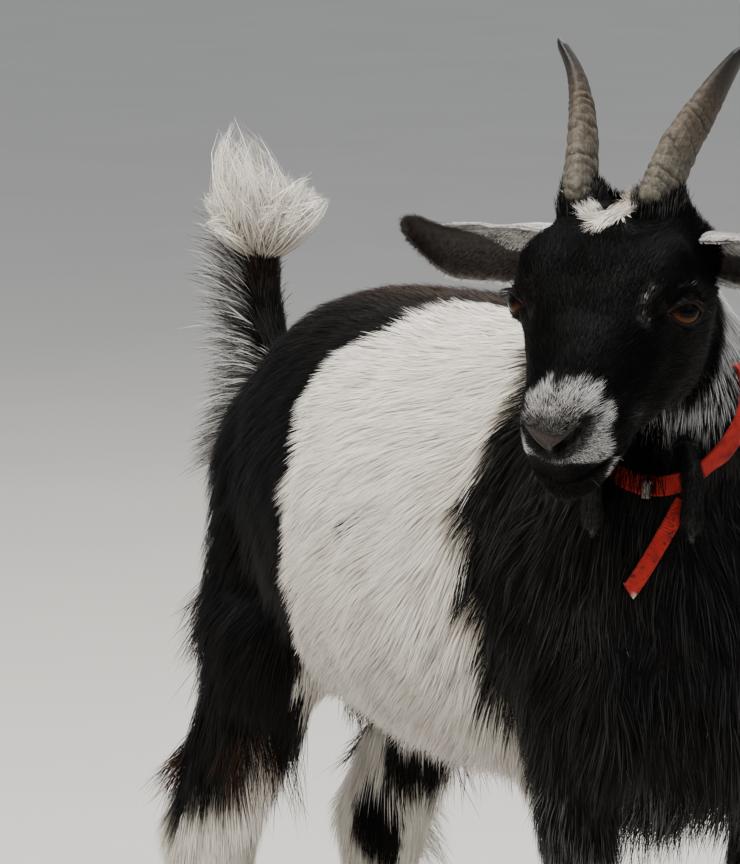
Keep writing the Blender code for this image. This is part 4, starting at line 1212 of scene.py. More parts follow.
def makeEar(side, word, finish):
    root, along, opening, across = earAxes(side)
    bpy.ops.mesh.primitive_grid_add(x_subdivisions=44, y_subdivisions=18, size=2)
    leaf = bpy.context.object
    leaf.name = f"ear_leaf_{word}"
    x, y, _ = readPoints(leaf.data).T
    t = (x + 1) / 2
    tipRound = np.sqrt(1 - 0.97 * np.clip((t - 0.88) / 0.12, 0, 1) ** 2)
    width = earShape["halfWidth"] * earRow("shares", t) * tipRound
    curl = np.radians(earShape["curl"] - earShape["uncurl"] * np.minimum(1, t * 1.8))
    radius = width / np.minimum(1, np.sin(np.minimum(curl, math.pi / 2)))
    middle = root + along * (t * earShape["length"] - earShape["sunk"])[:, None]
    middle += across * side * earRow("sag", t)[:, None]
    ripple = 0.0007 * np.sin(t * 22 + 3 * y) * np.abs(y)
    # soft ridges run from the root along the inside
    ridge = 0.0011 * np.sin(y * 7.5 + 1.2 * t) * np.sin(math.pi * t ** 0.8) * (1 - y ** 2)
    placed = middle + across * (radius * np.sin(curl * y))[:, None]
    placed += opening * (radius * (0.5 - np.cos(curl * y)) + ripple + ridge)[:, None]
    writePoints(leaf.data, fromHead(placed))
    modify(leaf, ("SOLIDIFY", {"thickness": earShape["wall"], "offset": 0.0}))
    editAll(leaf, faceOut)
    t, aside = alongEar(toHead(readPoints(leaf.data)), side)
    outside = (readNormals(leaf.data) @ headAxes) @ opening < 0.1
    setValues(leaf.data, grey=0.8 * earFrost(t, outside, aside))
    return dress(leaf, finish, "coat", f"ear_{word}")


def makeEars():
    finish = earFinish()
    leaves = [makeEar(side, word, finish) for side, word in bothSides]
    print("ears made")
    return leaves


ears = makeEars()


# wattles

wattleShape = {
    "rows": (  # out from the throat, down, and radius
        (-0.013, -0.018, 0.0048), (0.003, -0.010, 0.0052), (0.0135, 0.002, 0.0058),
        (0.0155, 0.016, 0.0062), (0.0150, 0.030, 0.0068), (0.0145, 0.038, 0.0044),
    ),
    "places": {  # root, and the way it stands out
        "left": ((0.254, -0.049, 0.457), (0.93, -0.36, 0.0)),
        "right": ((0.217, -0.081, 0.457), (0.45, -0.89, 0.0)),
    },
}


def makeWattle(word, finish):
    root, out = (np.array(row) for row in wattleShape["places"][word])
    out = unit(out)
    side = np.cross(out, (0, 0, 1))
    path = [(*(root + out * reach - (0, 0, drop)), radius) for reach, drop, radius in wattleShape["rows"]]

    def place(t, turn):
        spot = alongRows(path, t)
        ahead = alongRows(path, np.minimum(t + 0.02, 1)) - alongRows(path, np.maximum(t - 0.02, 0))
        deep = unit(np.cross(unit(ahead[:, :3]), side))
        radius = spot[:, 3] * np.sqrt(np.clip((1 - t) * 5, 0, 1)) * np.sqrt(np.clip(t * 12, 0, 1))
        radius *= 1 + 0.05 * np.sin(t * 19) + 0.03 * np.sin(turn * 3)
        ring = side * np.cos(turn)[:, None] + deep * np.sin(turn)[:, None]
        return fromBody(spot[:, :3] + ring * radius[:, None]), {}

    return dress(bentTube(f"wattle_skin_{word}", 24, 40, place), finish, "coat", f"wattle_{word}")


def makeWattles():
    # a finger of dark skin under hair
    finish = mottledFinish(
        "wattleSkin", {"Roughness": 0.6, "Specular IOR Level": 0.3}, 380.0, 3.0,
        ((0.3, "#080706"), (0.7, "#1c1815")), 0.3, 0.0004)[0]
    made = {word: makeWattle(word, finish) for word in ("left", "right")}
    print("wattles made")
    return made


wattles = makeWattles()


# hooves and dewclaws

hoofShape = {
    "coronet": 0.027,  # height of the wall at the middle of the claw
    "slope": 0.28,  # and how fast it rises towards the toe
    "toe": 0.38,  # how far the sole narrows to the toe
    "flat": 0.45,  # how far the inner wall at the cleft stands out, as a share of the outer one
    "aside": 0.275,
    "taper": 0.13,
    "lean": 0.006,  # how far the top lies behind the sole
    "rings": 6,  # growth rings of the hoof wall
    "ringHigh": 0.00025,
    "dewclawRadius": 0.0056,
}


def hoofFinish():
    # hoof horn: slate-dark wall with faint growth rings, scuffed paler at the ground
    finish, tree, shader, _ = newFinish("hoofHorn", {"Roughness": 0.5, "IOR": 1.54})
    place = addNode(tree, "TexCoord").outputs["Object"]
    rings = addNode(tree, "TexWave", {
        "bands_direction": "Z", "Scale": 45.0, "Distortion": 2.5, "Detail": 2.0, "Detail Scale": 1.5},
        {"Vector": place}).outputs["Fac"]
    grain = addNode(tree, "TexNoise", {"Scale": 500.0, "Detail": 4.0}, {"Vector": place})
    wall = addNode(tree, "ValToRGB", {"stops": ((0.0, "#1f1b18"), (1.0, "#3c3631"))}, {"Fac": rings})
    height = addNode(tree, "SeparateXYZ", {}, {"Vector": place}).outputs["Z"]
    scuffed = addNode(tree, "MapRange", {"From Min": 0.007, "From Max": 0.0, "To Min": 0.0, "To Max": 0.8},
                      {"Value": height})
    worn = addNode(tree, "MixRGB", {"Color2": "#6d6258"}, {"Fac": scuffed, "Color1": wall})
    relief = addNode(tree, "Bump", {"Strength": 0.4, "Distance": 0.0004}, {"Height": grain})
    wire(tree, shader, {"Base Color": worn, "Normal": relief})
    return finish


def makeHoof(node, finish):
    low, high = (np.array(corner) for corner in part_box(node))
    centre, half = (low + high) / 2, (high - low) / 2
    cleft = (-1 if "outer" in node else 1) * (1 if "_left_" in node else -1)  # y side of the inner wall

    def place(t, turn):
        # from the middle of the sole out to its edge, up the wall and in over the top
        out = np.clip(t / 0.25, 0, 1) * np.clip((1 - t) / 0.22, 0, 1)
        out = np.sin(out * math.pi / 2) ** 0.6
        rise = ease(0.22, 0.80, t)
        ahead, aside = np.cos(turn), np.sin(turn)
        x = ahead * half[0] * out * (1 - hoofShape["taper"] * rise) - hoofShape["lean"] * rise
        y = aside * out
        y = np.where(ahead > 0, y * (1 - hoofShape["toe"] * ahead ** 2), y)
        y = np.where(y * cleft > 0, y * hoofShape["flat"], y)
        shift = half[1] * cleft * -hoofShape["aside"]
        top = hoofShape["coronet"] + hoofShape["slope"] * (x + 0.003)
        wave = hoofShape["ringHigh"] * np.sin(rise * 2 * math.pi * hoofShape["rings"])
        wave = wave * (rise > 0.02) * (rise < 0.98)
        x = centre[0] + x + wave * ahead
        y = centre[1] + y * (half[1] / (1 - hoofShape["aside"])) + shift + wave * aside
        return np.stack((x, y, np.maximum(rise * top, 0)), axis=1), {}

    dress(bentTube(node.replace("hoof", "horny_hoof"), 44, 40, place), finish, "hoof", node)


def makeDewclaw(node, finish):
    low, high = (np.array(corner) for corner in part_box(node))
    middle = (low[1] + high[1]) / 2
    root = np.array((high[0], middle, high[2]))
    tip = np.array((low[0], middle, low[2]))
    root, tip = root * 0.78 + tip * 0.22, tip * 0.9 + root * 0.1
    side = np.array((0.0, 1.0, 0.0))
    deep = np.cross(unit(tip - root), side)

    def place(t, turn):
        radius = hoofShape["dewclawRadius"] * np.sqrt(np.clip(t * 8, 0, 1)) * (1 - 0.45 * t)
        radius = radius * np.clip((1 - t) * 4, 0, 1) ** 0.5
        ring = side * np.cos(turn)[:, None] + deep * np.sin(turn)[:, None]
        return root + (tip - root) * t[:, None] + ring * radius[:, None], {}

    dress(bentTube(node.replace("dewclaw", "horny_dewclaw"), 16, 16, place), finish, "hoof", node)


def makeFeet():
    finish = hoofFinish()
    for node in sorted(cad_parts):
        if node.startswith("hoof_"):
            makeHoof(node, finish)
        if node.startswith("dewclaw_"):
            makeDewclaw(node, finish)
    print("hooves made")


makeFeet()


# collar

collarShape = {
    "edge": 0.0006,  # rounding of the webbing's selvedges
    "threadGap": 0.0011,  # distance between the ribs of the weave
    "radius": 0.062,  # mean radius of the ring, by which the ribs are spaced
    "axis": (0.70, -0.60, 0.38),
    "buriedFrom": 0.511,  # above this height the ring lies deep in the neck's long hair
    "buried": 0.024,
    "sunkFrom": 0.462,  # and below this one hair falls over it
    "sunk": 0.003,
    "tongueFaces": (0.87, -0.50, 0.0),
    "tongueUp": 0.011,  # the loose end runs on up behind the wattle to the ring
    "tongueSlant": 0.55,  # its end is cut on the slant
    "keeperSize": 0.72,
    "keeperShift": (-0.0008, 0.0008, 0.0020),
}


def webbingFinish():
    # flat polyester webbing: bright red warp ribs, a little faded and grimy, with dark stitches on the
    # loose end
    finish, tree, shader, read = newFinish(
        "redWebbing", {"Roughness": 0.62, "Specular IOR Level": 0.2, "Sheen Weight": 0.08},
        ("along", "across", "worn", "loose"))
    place = addNode(tree, "TexCoord").outputs["Object"]
    flat = addNode(tree, "CombineXYZ", {}, {"X": read["along"], "Y": read["across"]})
    ribs, warp = (
        addNode(
            tree, "TexWave", {"bands_direction": way, "Scale": scale, "Distortion": bend}, {"Vector": flat})
        for way, scale, bend in (("X", 0.32, 0.3), ("Y", 0.5, 0.2)))
    weave = addNode(
        tree, "Math", {"operation": "MULTIPLY"}, {0: ribs.outputs["Fac"], 1: warp.outputs["Fac"]})
    grime = addNode(tree, "TexNoise", {"Scale": 130.0, "Detail": 4.0}, {"Vector": place})
    reds = ((0.25, "#7c0d06"), (0.5, "#b81d10"), (0.8, "#c72b1c"))
    red = addNode(tree, "ValToRGB", {"stops": reds}, {"Fac": grime})
    shade = addNode(tree, "ValToRGB", {"stops": ((0.0, "#8a8a8a"), (0.5, "#ffffff"))}, {"Fac": weave})
    mixed = addNode(
        tree, "MixRGB", {"blend_type": "MULTIPLY", "Fac": 0.7}, {"Color1": red, "Color2": shade})
    rubs = addNode(tree, "TexNoise", {"Scale": 420.0, "Detail": 3.0, "Roughness": 0.6}, {"Vector": place})
    spots = addNode(tree, "MapRange", {"From Min": 0.55, "From Max": 0.62}, {"Value": rubs})
    spotted = addNode(tree, "Math", {"operation": "MULTIPLY"}, {0: spots, 1: read["loose"]})
    marked = addNode(tree, "MixRGB", {"Color2": "#1d0705"}, {"Fac": spotted, "Color1": mixed})
    frayed = addNode(tree, "MixRGB", {"Color2": "#b7a48f"}, {"Fac": read["worn"], "Color1": marked})
    relief = addNode(tree, "Bump", {"Strength": 0.55, "Distance": 0.0003}, {"Height": weave})
    wire(tree, shader, {"Base Color": frayed, "Normal": relief})
    return finish


def plateFinish():
    # zinc-plated steel, dulled and finely scratched
    finish, tree, shader, _ = newFinish("dullZincPlate", {"Metallic": 1.0, "Roughness": 0.42})
    place = addNode(tree, "TexCoord").outputs["Object"]
    scratches = addNode(tree, "TexNoise", {"Scale": 700.0, "Detail": 5.0}, {"Vector": place})
    tone = addNode(tree, "ValToRGB", {"stops": ((0.3, "#4b463f"), (0.7, "#8f8a80"))}, {"Fac": scratches})
    wire(tree, shader, {"Base Color": tone})
    return finish


def strapCopy(node, name):
    strap = nodeCopy(node)
    strap.name = name
    editAll(strap, mergeDoubles,
            (bpy.ops.mesh.tris_convert_to_quads, {"face_threshold": 1.2, "shape_threshold": 1.2}), faceOut)
    rounded = {"width": collarShape["edge"], "segments": 2, "limit_method": "ANGLE", "angle_limit": 0.9}
    modify(strap, ("BEVEL", rounded), ("SUBSURF", {"levels": 2, "render_levels": 2}))
    points = readPoints(strap.data)
    return strap, points, points.mean(0)


def makeRing(finish):
    ring, points, centre = strapCopy("collar_ring", "collar_webbing")
    axis = unit(np.array(collarShape["axis"]))
    front = unit(np.cross(axis, (0, 0, 1)))
    out = points - centre
    turn = np.arctan2(out @ np.cross(axis, front), out @ front)
    height = toBody(points)[:, 2]
    top, low = collarShape["buriedFrom"], collarShape["sunkFrom"]
    depth = collarShape["buried"] * ease(top, top + 0.014, height)
    depth = depth + collarShape["sunk"] * ease(low, low - 0.012, height)
    writePoints(ring.data, points - unit(out - np.outer(out @ axis, axis)) * depth[:, None])
    gap = collarShape["threadGap"]
    setValues(
        ring.data, along=turn * collarShape["radius"] / gap, across=out @ axis / gap,
        worn=np.zeros(len(points)), loose=np.full(len(points), 0.10))
    dress(ring, finish, "webbing", "collar_ring")


def makeTongue(finish):
    tongue, points, centre = strapCopy("collar_tongue", "collar_loose_end")
    faces = np.array(collarShape["tongueFaces"])
    height = points[:, 2]
    bottom, top = points[height < height.min() + 0.004], points[height > height.max() - 0.004]
    way = unit(bottom.mean(0) - top.mean(0))
    travel = (points - centre) @ way
    aside = (points - centre) @ unit(np.cross(way, faces))
    toEnd = travel.max() - travel
    # cut on the slant, with its corner rubbed to pale fluff
    points -= way * (collarShape["tongueUp"] * ease(0.02, 0.0, travel - travel.min()))[:, None]
    points -= way * (ease(0.012, 0.0, toEnd) * (aside - aside.min()) * collarShape["tongueSlant"])[:, None]
    points += unit(faces) * (0.0012 * np.sin(travel / 0.011))[:, None]
    writePoints(tongue.data, points)
    gap = collarShape["threadGap"]
    setValues(
        tongue.data, along=travel / gap, across=aside / gap,
        worn=ease(0.0065, 0.003, toEnd) * ease(0.002, -0.002, aside),
        loose=0.15 + 0.75 * ease(0.004, 0.001, np.abs(np.abs(aside) - 0.0042)))
    dress(tongue, finish, "webbing", "collar_tongue")


def makeCollar():
    finish = webbingFinish()
    makeRing(finish)
    makeTongue(finish)
    # a small bent wire keeper with a bar
    buckle, points, centre = strapCopy("collar_buckle", "collar_keeper")
    points = centre + (points - centre) * collarShape["keeperSize"] + collarShape["keeperShift"]
    writePoints(buckle.data, points)
    dress(buckle, plateFinish(), "buckle_metal", "collar_buckle")
    print("collar made")


makeCollar()


# the coat

def tuftFinish(name, black, blackTip, roughness, gloss):
    # coarse outer hair: each colour runs from a darker root to a lighter tip, painted shade deep in the
    # coat near the skin, and in the black also a browner tip as real hair rubs and bleaches at its ends
    finish, tree, shader, read = newFinish(
        name, {"Roughness": roughness, "Specular IOR Level": gloss},
        ("along", "pale", "grey", "brown", "tone"))
    mixed = addNode(tree, "ValToRGB", {"stops": ((0.0, black), (1.0, blackTip))}, {"Fac": read["along"]})
    for key, stops in (
        ("brown", ((0.1, "#0d0805"), (0.5, "#2c1a0f"), (1.0, "#5a3619"))),
        ("grey", ((0.0, "#3a3632"), (0.25, "#aaa59f"), (0.6, "#f6f4f0"))),
        ("pale", ((0.0, "#cfc4b2"), (0.4, "#e9e2d5"), (1.0, "#f6f1e8"))),
    ):
        colour = addNode(tree, "ValToRGB", {"stops": stops}, {"Fac": read["along"]})
        mixed = addNode(tree, "MixRGB", {}, {"Fac": read[key], "Color1": mixed, "Color2": colour})
    shades = ((0.0, "#a6a6a6"), (1.0, "#ffffff"))
    shade = addNode(tree, "ValToRGB", {"stops": shades}, {"Fac": read["tone"]})
    toned = addNode(
        tree, "MixRGB", {"blend_type": "MULTIPLY", "Fac": 1.0}, {"Color1": mixed, "Color2": shade})
    wire(tree, shader, {"Base Color": toned})
    return finish


coatFinish = tuftFinish("goatHair", "#050404", "#110e0b", 0.5, 0.09)
faceFinish = tuftFinish("faceHair", "#020202", "#060504", 0.55, 0.04)


def unwrapped(mesh, name, keep):
    # smart unwrap of the kept faces alone; gives each kept face corner's place on it
    corners = readRows(mesh.loops, "vertex_index", 1, np.int32)
    starts = readRows(mesh.polygons, "loop_start", 1, np.int32)
    totals = readRows(mesh.polygons, "loop_total", 1, np.int32)
    kept = np.nonzero(keep)[0]
    where = np.concatenate([np.arange(starts[i], starts[i] + totals[i]) for i in kept])
    used, again = np.unique(corners[where], return_inverse=True)
    faces = np.split(again, np.cumsum(totals[kept])[:-1])
    sheet = bpy.data.meshes.new(name + "Sheet")
    sheet.from_pydata(readPoints(mesh)[used].tolist(), [], [face.tolist() for face in faces])
    obj = bpy.data.objects.new(name + "Sheet", sheet)
    bpy.context.scene.collection.objects.link(obj)
    pickFaces(obj, np.ones(len(sheet.polygons), bool))
    bpy.ops.uv.smart_project(angle_limit=math.radians(75), island_margin=0.003, scale_to_bounds=True)
    bpy.ops.object.mode_set(mode="OBJECT")
    places = np.zeros((len(corners), 2))
    places[where] = readRows(sheet.uv_layers[0].data, "uv", 2)
    bpy.data.objects.remove(obj)
    return places


def triangles(mesh):
    # corners, face corners and faces of the triangles, their middles and their areas
    mesh.calc_loop_triangles()
    pieces = mesh.loop_triangles
    verts = readRows(pieces, "vertices", 3, np.int32).reshape(-1, 3)
    a, b, c = (readPoints(mesh)[verts[:, k]] for k in range(3))
    area = np.linalg.norm(np.cross(b - a, c - a), axis=1) / 2
    loops = readRows(pieces, "loops", 3, np.int32).reshape(-1, 3)
    return verts, loops, readRows(pieces, "polygon_index", 1, np.int32), (a + b + c) / 3, area


def sowRoots(mesh, density, draw):
    # roots spread over the triangles by their area times the density there
    verts, loops, faces, middles, area = triangles(mesh)
    share = area * density(middles)
    count = int(share.sum())
    order = (np.arange(count) + draw.random(count)) / count
    chosen = np.searchsorted(np.cumsum(share) / share.sum(), order)
    chosen = np.minimum(chosen, len(verts) - 1)
    u, v = draw.random(count), draw.random(count)
    over = u + v > 1
    u[over], v[over] = 1 - u[over], 1 - v[over]
    mix = np.stack((1 - u - v, u, v), axis=1)
    roots, facing = (
        (rows[verts[chosen]] * mix[:, :, None]).sum(1) for rows in (readPoints(mesh), readNormals(mesh)))
    return {
        "root": roots, "facing": unit(facing), "corners": loops[chosen], "mix": mix, "face": faces[chosen],
    }


def some(tufts, chosen):
    return {key: value[chosen] for key, value in tufts.items()}


def patchPlaces(mesh, name, sown, keep=None):
    # the roots' places on an unwrap of the kept faces, or of the faces under them
    if keep is None:
        keep = np.zeros(len(mesh.polygons), bool)
        keep[sown["face"]] = True
    return (unwrapped(mesh, name, keep)[sown["corners"]] * sown["mix"][:, :, None]).sum(1)


def tuftPaths(part, steps):
    # where each tuft's spine runs: lifted off the skin, drawn to its lock, and bent down by its weight
    lay, up = part["lay"], part["facing"]
    length, lift = part["length"][:, None], part["lift"][:, None]
    spine = []
    for k in range(steps + 1):
        t = k / steps
        rise = np.sin(lift) * (1.35 * t - 0.35 * t * t)
        place = part["root"] + length * (lay * t * np.cos(lift) + up * rise) - up * 0.0006 * (1 - t)
        place = place + part["pull"] * t ** 1.6
        place[:, 2] -= part["droop"] * t * t
        spine.append(place)
    roll = part["roll"][:, None]
    side = unit(np.cross(lay, up)) * np.cos(roll) + up * np.sin(roll)
    return np.stack(spine, axis=1), side


def ribbons(spine, side, part):
    # flat blades along the spines, as many segments as the spines have, each ending in a point
    count, rows = spine.shape[:2]
    steps = rows - 1
    patch = coatLook["patch"]
    corners, alongs, places = [], [], []
    for k in range(steps):
        t = k / steps
        half = part["width"][:, None] / 2 * (1 - 0.45 * t ** 1.5)
        v = part["uv"] + np.array((0.0, (2 * t - 1) * patch))
        corners += [spine[:, k] - side * half, spine[:, k] + side * half]
        places += [v - (patch, 0), v + (patch, 0)]
        alongs += [np.full(count, t)] * 2
    corners.append(spine[:, -1])
    places.append(part["uv"] + np.array((0.0, patch)))
    alongs.append(np.ones(count))
    per = len(corners)
    quads = [[2 * k, 2 * k + 1, 2 * k + 3, 2 * k + 2] for k in range(steps - 1)]
    pattern = [i for quad in quads for i in quad] + [per - 3, per - 2, per - 1]
    return {
        "points": np.stack(corners, axis=1).reshape(-1, 3),
        "loops": (np.arange(count)[:, None] * per + np.array(pattern)[None]).ravel(),
        "sizes": np.tile([4] * (steps - 1) + [3], count),
        "uv": np.stack(places, axis=1)[:, pattern].reshape(-1, 2),
        "along": np.stack(alongs, axis=1).ravel(),
        **{key: np.repeat(part[key], per) for key in ("pale", "grey", "brown", "tone")},
    }


def coatPiece(name, chunks, finish):
    shift = np.cumsum([0] + [len(chunk["points"]) for chunk in chunks])
    chunks = [{**chunk, "loops": chunk["loops"] + start} for start, chunk in zip(shift, chunks)]
    whole = {key: np.concatenate([chunk[key] for chunk in chunks]) for key in chunks[0]}
    mesh = bpy.data.meshes.new(name)
    mesh.vertices.add(len(whole["points"]))
    mesh.vertices.foreach_set("co", whole["points"].astype(np.float32).ravel())
    mesh.loops.add(len(whole["loops"]))
    mesh.loops.foreach_set("vertex_index", whole["loops"].astype(np.int32))
    mesh.polygons.add(len(whole["sizes"]))
    starts = np.concatenate(([0], np.cumsum(whole["sizes"])[:-1])).astype(np.int32)
    mesh.polygons.foreach_set("loop_start", starts)
    mesh.polygons.foreach_set("use_smooth", np.ones(len(starts), bool))
    mesh.update(calc_edges=True)
    layer = mesh.uv_layers.new(name="OFBake")
    layer.data.foreach_set("uv", whole["uv"].astype(np.float32).ravel())
    setValues(mesh, **{key: whole[key] for key in ("along", "pale", "grey", "brown", "tone")})
    obj = bpy.data.objects.new(name, mesh)
    bpy.context.scene.collection.objects.link(obj)
    mesh.materials.append(finish)
    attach(obj, "root")
    count = int((whole["sizes"] - 2).sum())
    print(name, count, "triangles")
    return count


def tuftMesh(name, tufts, finish):
    # short hair is a single blade, longer hair bends in two or three steps
    short, long = tufts["length"] < coatLook["shortHair"], tufts["length"] >= coatLook["longHair"]
    tufts["width"] = tufts["width"] * np.where(short, 1.25, 1.0)
    chunks = []
    for steps, chosen in ((1, short), (2, ~short & ~long), (3, long)):
        if chosen.any():
            part = some(tufts, chosen)
            chunks.append(ribbons(*tuftPaths(part, steps), part))
    return coatPiece(name, chunks, finish)


def flat(rows, facing):
    # the part of each direction that lies along the surface
    return rows - facing * (rows * facing).sum(1)[:, None]


def styled(sown, ways, length, lift, marks, draw, clump=0.45):
    # turns the combed direction into single tufts: wavy, gathered into locks, each a little different
    roots, facing = sown["root"], sown["facing"]
    count = len(roots)
    x, _, z = toBody(roots).T
    lay = unit(flat(ways, facing))
    swing = 0.12 * waves(roots, 0.034, 21) + 0.09 * waves(roots, 0.010, 22) + draw.normal(0, 0.07, count)
    shaggy = ease(0.100, 0.140, x) * ease(0.020, 0.032, length)
    swing += shaggy * (0.34 * waves(roots, 0.022, 27) + 0.20 * waves(roots, 0.009, 28))
    lay = unit(lay * np.cos(swing)[:, None] + np.cross(facing, lay) * np.sin(swing)[:, None])
    uneven = 1 + 0.16 * waves(roots, 0.02, 23) + draw.uniform(-0.22, 0.16, count)
    length = length * (1 - 0.18 * shaggy) * uneven
    lift = lift * (1 + 0.30 * waves(roots, 0.012, 24) + draw.normal(0, 0.18, count))
    lift = np.clip(lift, 0.05, 1.2)
    # tips lean towards the middle of their lock
    drift = np.stack([waves(roots, 0.02, 25 + k) for k in range(3)], axis=1)
    cell = np.floor((roots + 0.004 * drift) / coatLook["lock"])
    _, lock = np.unique(cell.astype(int), axis=0, return_inverse=True)
    lock = lock.ravel()
    tips = roots + lay * length[:, None]
    total = np.bincount(lock)
    middle = np.stack([np.bincount(lock, tips[:, k]) / total for k in range(3)], axis=1)
    gather = clump * draw.uniform(0.3, 1.0, count) * ease(0.004, 0.034, length)
    pull = flat((middle[lock] - tips) * gather[:, None], facing)
    ownTone = draw.random(len(total))[lock]
    mixedEdge = (marks["pale"] > 0.02) * (marks["pale"] < 0.98)
    pale = ease(0.42, 0.58, np.clip(marks["pale"] + draw.normal(0, 0.09, count) * mixedEdge, 0, 1))
    # sparse grey is dim and on more hairs, as single white hairs are thinner than a tuft
    share = marks["grey"] * (1 + 2.0 * ease(0.30, 0.10, marks["grey"]))
    greyHair = draw.random(count) < share * (0.65 + 0.7 * draw.random(len(total))[lock])
    grey = greyHair * draw.uniform(0.5, 1.0, count) * (0.034 + 0.966 * ease(0.28, 0.72, marks["grey"]))
    brown = np.clip(marks["brown"] * draw.uniform(0.0, 1.8, count), 0, 1)
    # painted shade: low on the belly the belt's white is painted a darker warm grey-brown, standing for the
    # shade under the belly
    bellyShade = 0.38 * ease(0.40, 0.26, z) * (np.abs(x) < 0.14) * (pale > 0.5)
    pale = pale * (1 - bellyShade * draw.uniform(0.7, 1.2, count))
    return {
        **sown, "lay": lay, "length": length, "lift": lift, "width": tuftWidth(length),
        "roll": draw.normal(0, 0.22, count), "droop": 2.2 * np.maximum(length - 0.02, 0) ** 1.5 * 3,
        "pull": pull, "pale": pale, "grey": grey, "brown": np.maximum(brown, bellyShade > 0),
        "tone": np.clip(0.45 + 0.35 * ownTone + draw.uniform(-0.25, 0.30, count) + 0.2 * pale, 0, 1),
    }


def regionOf(points):
    # which coat piece a place belongs to; a later row takes places from an earlier one
    x, y, z = toBody(points).T
    hx, hy, hz = toHead(points).T
    onHead = (hx > -0.090) & (np.abs(hy) < 0.09) & (hz > -0.088)
    name = np.full(len(points), "hair_flank_left", dtype=object)
    for region, inside in (
        ("hair_flank_right", y < 0),
        ("hair_haunch_left", (x < -0.075) & (y >= 0)),
        ("hair_haunch_right", (x < -0.075) & (y < 0)),
        ("hair_shoulder_left", (x > 0.118) & (y >= 0)),
        ("hair_shoulder_right", (x > 0.118) & (y < 0)),
        ("hair_neck", (x > 0.16) & (z > 0.425)),
        ("hair_tail", (x < -0.238) & (z > 0.415)),
        ("hair_muzzle", onHead & (hx > 0.062)),
        ("hair_face_right", onHead & (hx <= 0.062) & (hy < 0.0)),
        ("hair_face_left", onHead & (hx <= 0.062) & (hy >= 0.0)),
    ):
        name[inside] = region
    return name


def bareOfHair(points):
    # places where no tuft grows: the nose, nostrils, the eyes' openings and the parting of the lips
    head = toHead(points)
    bald = markings(points)["bare"] > 0.35
    for side in (1, -1):
        bald |= offLine(head, nostrilPath(side))[0] < 0.0022
        bald |= offLine(head, mouthLine(side)[:5])[0] < 0.0014
        _, far, facing, _, edge = offLids(head, side)
        bald |= (facing > 0.2) & (far < 0.021) & (edge < 7)
    return bald


def keepOffEyes(tufts):
    # shortens tufts that would cross the eyes' openings
    for side in (1, -1):
        tip = tufts["root"] + tufts["lay"] * tufts["length"][:, None]
        gaze, outward, up = eyeAxes(side)
        away = (tip - fromHead(eyeCentre(side))) @ headAxes
        across, above = away @ outward, away @ up
        crossing = (np.linalg.norm(away, axis=1) < 0.021) & (away @ gaze > 0.004)
        crossing &= (across / 0.0125) ** 2 + (above / 0.0080) ** 2 < 1
        tufts["length"] = np.where(crossing, tufts["length"] * 0.35, tufts["length"])
    return tufts


def growCoat():
    draw = np.random.default_rng(7)
    mesh = skin.data

    def wanted(points):
        _, length, _ = combed(points)
        return coatLook["cover"] / (length * tuftWidth(length))

    *_, middles, area = triangles(mesh)
    need = float((area * wanted(middles)).sum())
    scale = min(1.0, coatLook["tuftsMost"] / need)
    print("coat wants", int(need), "tufts; scale", round(scale, 3))
    sown = sowRoots(mesh, lambda points: wanted(points) * scale, draw)
    sown = some(sown, ~bareOfHair(sown["root"]))
    tufts = keepOffEyes(styled(sown, *combed(sown["root"]), markings(sown["root"]), draw))
    region = regionOf(faceCentres(mesh))
    total = 0
    for name in sorted(set(region)):
        inside = region == name
        part = some(tufts, inside[tufts["face"]])
        part["uv"] = patchPlaces(mesh, name, part, inside)
        total += tuftMesh(name, part, faceFinish if "face" in name or "muzzle" in name else coatFinish)
    print("coat on the skin:", total, "triangles")
    return total


def growOnEar(leaf, side, word):
    draw = np.random.default_rng(31 + side)
    root, along, opening, across = earAxes(side)
    sown = sowRoots(leaf.data, lambda points: np.full(len(points), 1.9e6), draw)
    head = toHead(sown["root"])
    count = len(head)
    t, aside = alongEar(head, side)
    t = np.clip(t, 0, 1)
    outside = (sown["facing"] @ headAxes) @ opening < 0.15
    reach = (head - root) @ across
    rim = ease(0.70, 0.95, np.abs(reach) / np.maximum(earShape["halfWidth"] * earRow("shares", t), 1e-6))
    ways = np.where(outside[:, None], along + 0.15 * across, along * 0.8 + opening * 0.3)
    ways = unit(ways + across * (np.sign(reach) * 0.5 * (~outside))[:, None])
    frost = earFrost(t, outside, aside)
    length = np.where(outside, 0.0050 - 0.001 * t, 0.0038 + 0.0012 * rim * (1 - t))
    lift = np.radians(np.where(outside, 8, 10 + 5 * rim))
    keep = outside | (draw.random(count) < 0.55 + 0.45 * frost)
    marks = {"pale": np.zeros(count), "grey": frost, "brown": 0.65 * (~outside) * (0.4 + 0.6 * t)}
    tufts = styled(sown, unit(ways) @ headAxes.T, length, lift, marks, draw, clump=0.2)
    tufts["grey"] = np.clip(tufts["grey"] * 1.45, 0, 1)
    tufts["tone"] = np.clip(tufts["tone"] + 0.35 * frost, 0, 1)
    part = some(tufts, keep)
    name = f"hair_ear_{word}"
    part["uv"] = patchPlaces(leaf.data, name, part, np.ones(len(leaf.data.polygons), bool))
    return tuftMesh(name, part, coatFinish)


def growOnWattle(tube, word):
    draw = np.random.default_rng(41 + len(word))
    sown = sowRoots(tube.data, lambda points: np.full(len(points), 1.6e6), draw)
    height = sown["root"][:, 2]
    count = len(height)
    t = (height.max() - height) / (height.max() - height.min())
    ways = unit(np.tile((0.0, 0.0, -1.0), (count, 1)) + sown["facing"] * 0.1)
    grey = 0.04 + 0.36 * ease(0.70, 0.95, t) + 0.40 * ease(0.16, 0.06, t) * (word == "left")
    marks = {"pale": np.zeros(count), "grey": grey, "brown": np.zeros(count)}
    tufts = styled(sown, ways, np.full(count, 0.0075), np.full(count, 0.13), marks, draw)
    name = f"hair_wattle_{word}"
    tufts["uv"] = patchPlaces(tube.data, name, tufts, np.ones(len(tube.data.polygons), bool))
    return tuftMesh(name, tufts, coatFinish)


# long hair

